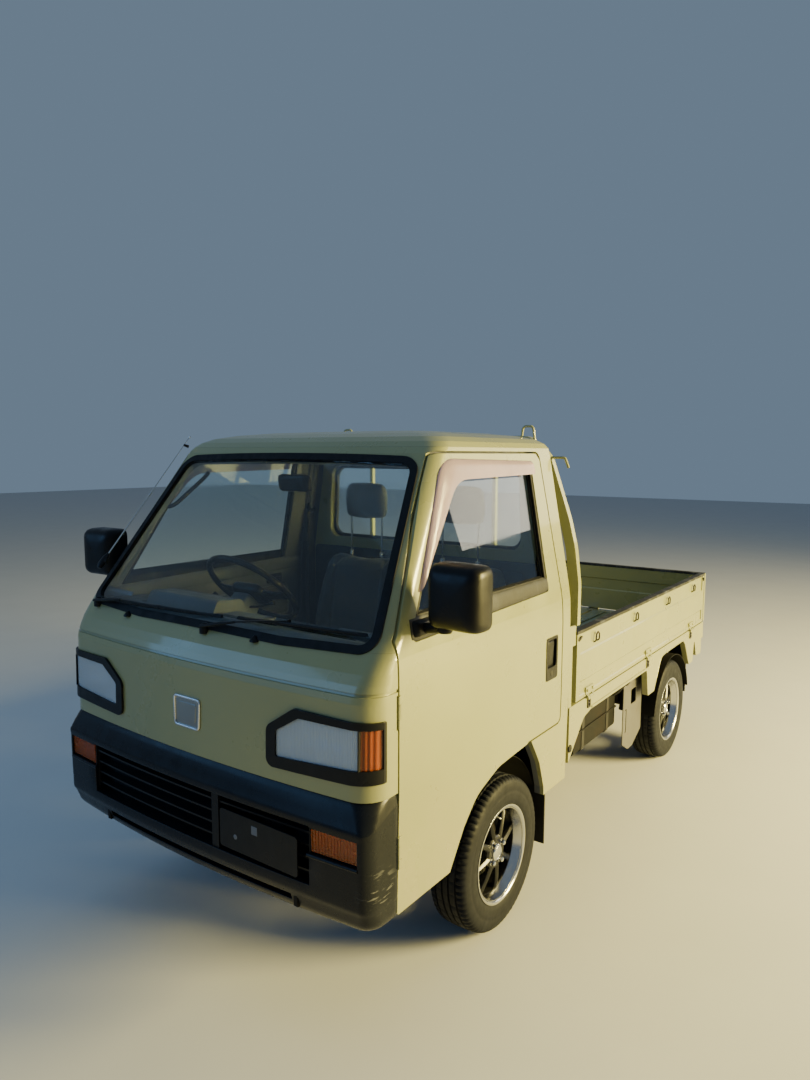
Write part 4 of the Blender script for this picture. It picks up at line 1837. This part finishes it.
def chassis_trim():
    """Lines and bolts along the chassis rails, and the steering rack's bellows."""
    lines = Shape()
    for side in (-1, 1):
        lines.tube(rounded([(side * 294, -1180, 372), (side * 294, -480, 372), (side * 294, -300, 600),
                            (side * 294, 540, 604)], 60), 4, 8)
        lines.tube(rounded([(side * 294, 580, 604), (side * 294, 1390, 604)], 40), 4, 8)
    lines.piece("chassis_lines", BRUSHED, "truck", smooth=45)
    bolts = Shape()
    for side in (-1, 1):
        for y in (-1420, -1280, -1000, -640, -500):
            bolts.lathe([(side * 361, 0.5), (side * 361, 9), (side * 367, 9), (side * 368, 7),
                         (side * 368, 0.5)], (0, y, 375), "X", 6)
    bolts.piece("chassis_bolts", DARK_STEEL, "truck")
    for side_name, side in SIDES:
        boot = Shape()
        profile = [(372, 12), (372, 24)]
        for index in range(7):
            profile += [(376 + index * 7.5, 24 - index * 0.9), (379.7 + index * 7.5, 16)]
        profile += [(431, 14), (431, 9)]
        boot.lathe(profile, (0, -700, 306), "X", 28)
        boot.piece(f"rack_boot_{side_name}", RUBBER, "truck", side, smooth=30)
        member = Shape()
        for y in (-868, -802):
            member.lathe([(292, 0.5), (292, 11), (300, 11), (301, 0.5)], (320, y, 0), "Z", 6)
        member.piece(f"member_bolts_{side_name}", DARK_STEEL, "truck", side)


def wheel_liners():
    """Curved inner guards over the rear tyres and behind the front ones."""
    for side_name, side in SIDES:
        liner = Shape()
        for y, radius, x0, x1, first, last in ((AXLE_YS["front"], 330, 385, 640, -10, 74),
                                               (AXLE_YS["rear"], 300, 500, 688, 12, 172)):
            rings = []
            for step in range(25):
                turn = math.radians(first + (last - first) * step / 24)
                rings.append([round_axle(x, y, r, turn) for x, r in
                              ((x0, radius), (x1, radius), (x1, radius + 2.5), (x0, radius + 2.5))])
            liner.rings(rings)
        liner.piece(f"wheel_liners_{side_name}", CHASSIS, "truck", side, smooth=40)


def underbody():
    wheel_liners()
    exhaust_trim()
    tank_trim()
    axle_trim()
    engine_trim()
    chassis_trim()


wheels()
headlamps()
nose_trim()
bumper()
bumper_trim()
wipers()
antenna()
doors()
cab_inside()
bed()
underbody()


# Stage, light and camera


def stage():
    floor_look = Look("floor", (0.40, 0.435, 0.51), 0.85)
    floor_look.color(floor_look.mix(floor_look.noise(2.5, 4), (0.47, 0.47, 0.465), (0.52, 0.52, 0.51)))
    mesh = bpy.data.meshes.new("floor")
    reach, back = 30.0, 26.0
    verts = [(-reach, -reach, 0), (reach, -reach, 0), (reach, back, 0), (-reach, back, 0)]
    mesh.from_pydata(verts, [], [(0, 1, 2, 3)])
    floor = placed("floor", mesh)
    mesh.materials.append(floor_look.material)


def area_light(name, place, target, size, power, color, glossy=True):
    data = bpy.data.lights.new(name, "AREA")
    data.shape = "RECTANGLE"
    data.size, data.size_y = size
    data.energy = power
    data.color = color
    light = placed(name, data)
    light.visible_glossy = glossy
    light.location = place
    light.rotation_euler = (Vector(target) - Vector(place)).to_track_quat("-Z", "Y").to_euler()


def lights():
    area_light("key", (6.3, 2.4, 2.5), (0, 0.3, 0.9), (2.4, 2.4), 2350, (1.0, 0.82, 0.27))
    area_light("sky", (-1.0, -1.0, 7.0), (0, 0, 0.5), (7.0, 7.0), 100, (0.44, 0.68, 1.0), glossy=False)
    area_light("front", (-4.0, -6.5, 3.2), (0, -1.0, 0.9), (5.0, 3.0), 105, (0.20, 0.50, 1.0))
    area_light("back", (4.5, 8.0, 3.5), (0, 0.8, 0.9), (3.0, 3.0), 110, (1.0, 0.90, 0.70))
    world = bpy.data.worlds.new("studio")
    bpy.context.scene.world = world
    world.use_nodes = True
    background = world.node_tree.nodes["Background"]
    background.inputs["Color"].default_value = (0.52, 0.73, 1.0, 1)
    background.inputs["Strength"].default_value = 0.27


CAMERA_PLACE = (1.8752, -3.0866, 1.6529)
CAMERA_YAW = 35.73
CAMERA_PITCH = -6.42
CAMERA_ROLL = 0.15
CAMERA_LENS = 25.518


def camera():
    data = bpy.data.cameras.new("camera")
    data.lens = CAMERA_LENS
    data.sensor_width = 36.0
    data.sensor_fit = "AUTO"
    data.clip_start = 0.05
    made = placed("camera", data)
    turn = (Matrix.Rotation(math.radians(CAMERA_YAW), 4, "Z")
            @ Matrix.Rotation(math.radians(90 + CAMERA_PITCH), 4, "X")
            @ Matrix.Rotation(math.radians(CAMERA_ROLL), 4, "Z"))
    made.matrix_world = Matrix.Translation(CAMERA_PLACE) @ turn
    bpy.context.scene.camera = made


stage()
lights()
camera()
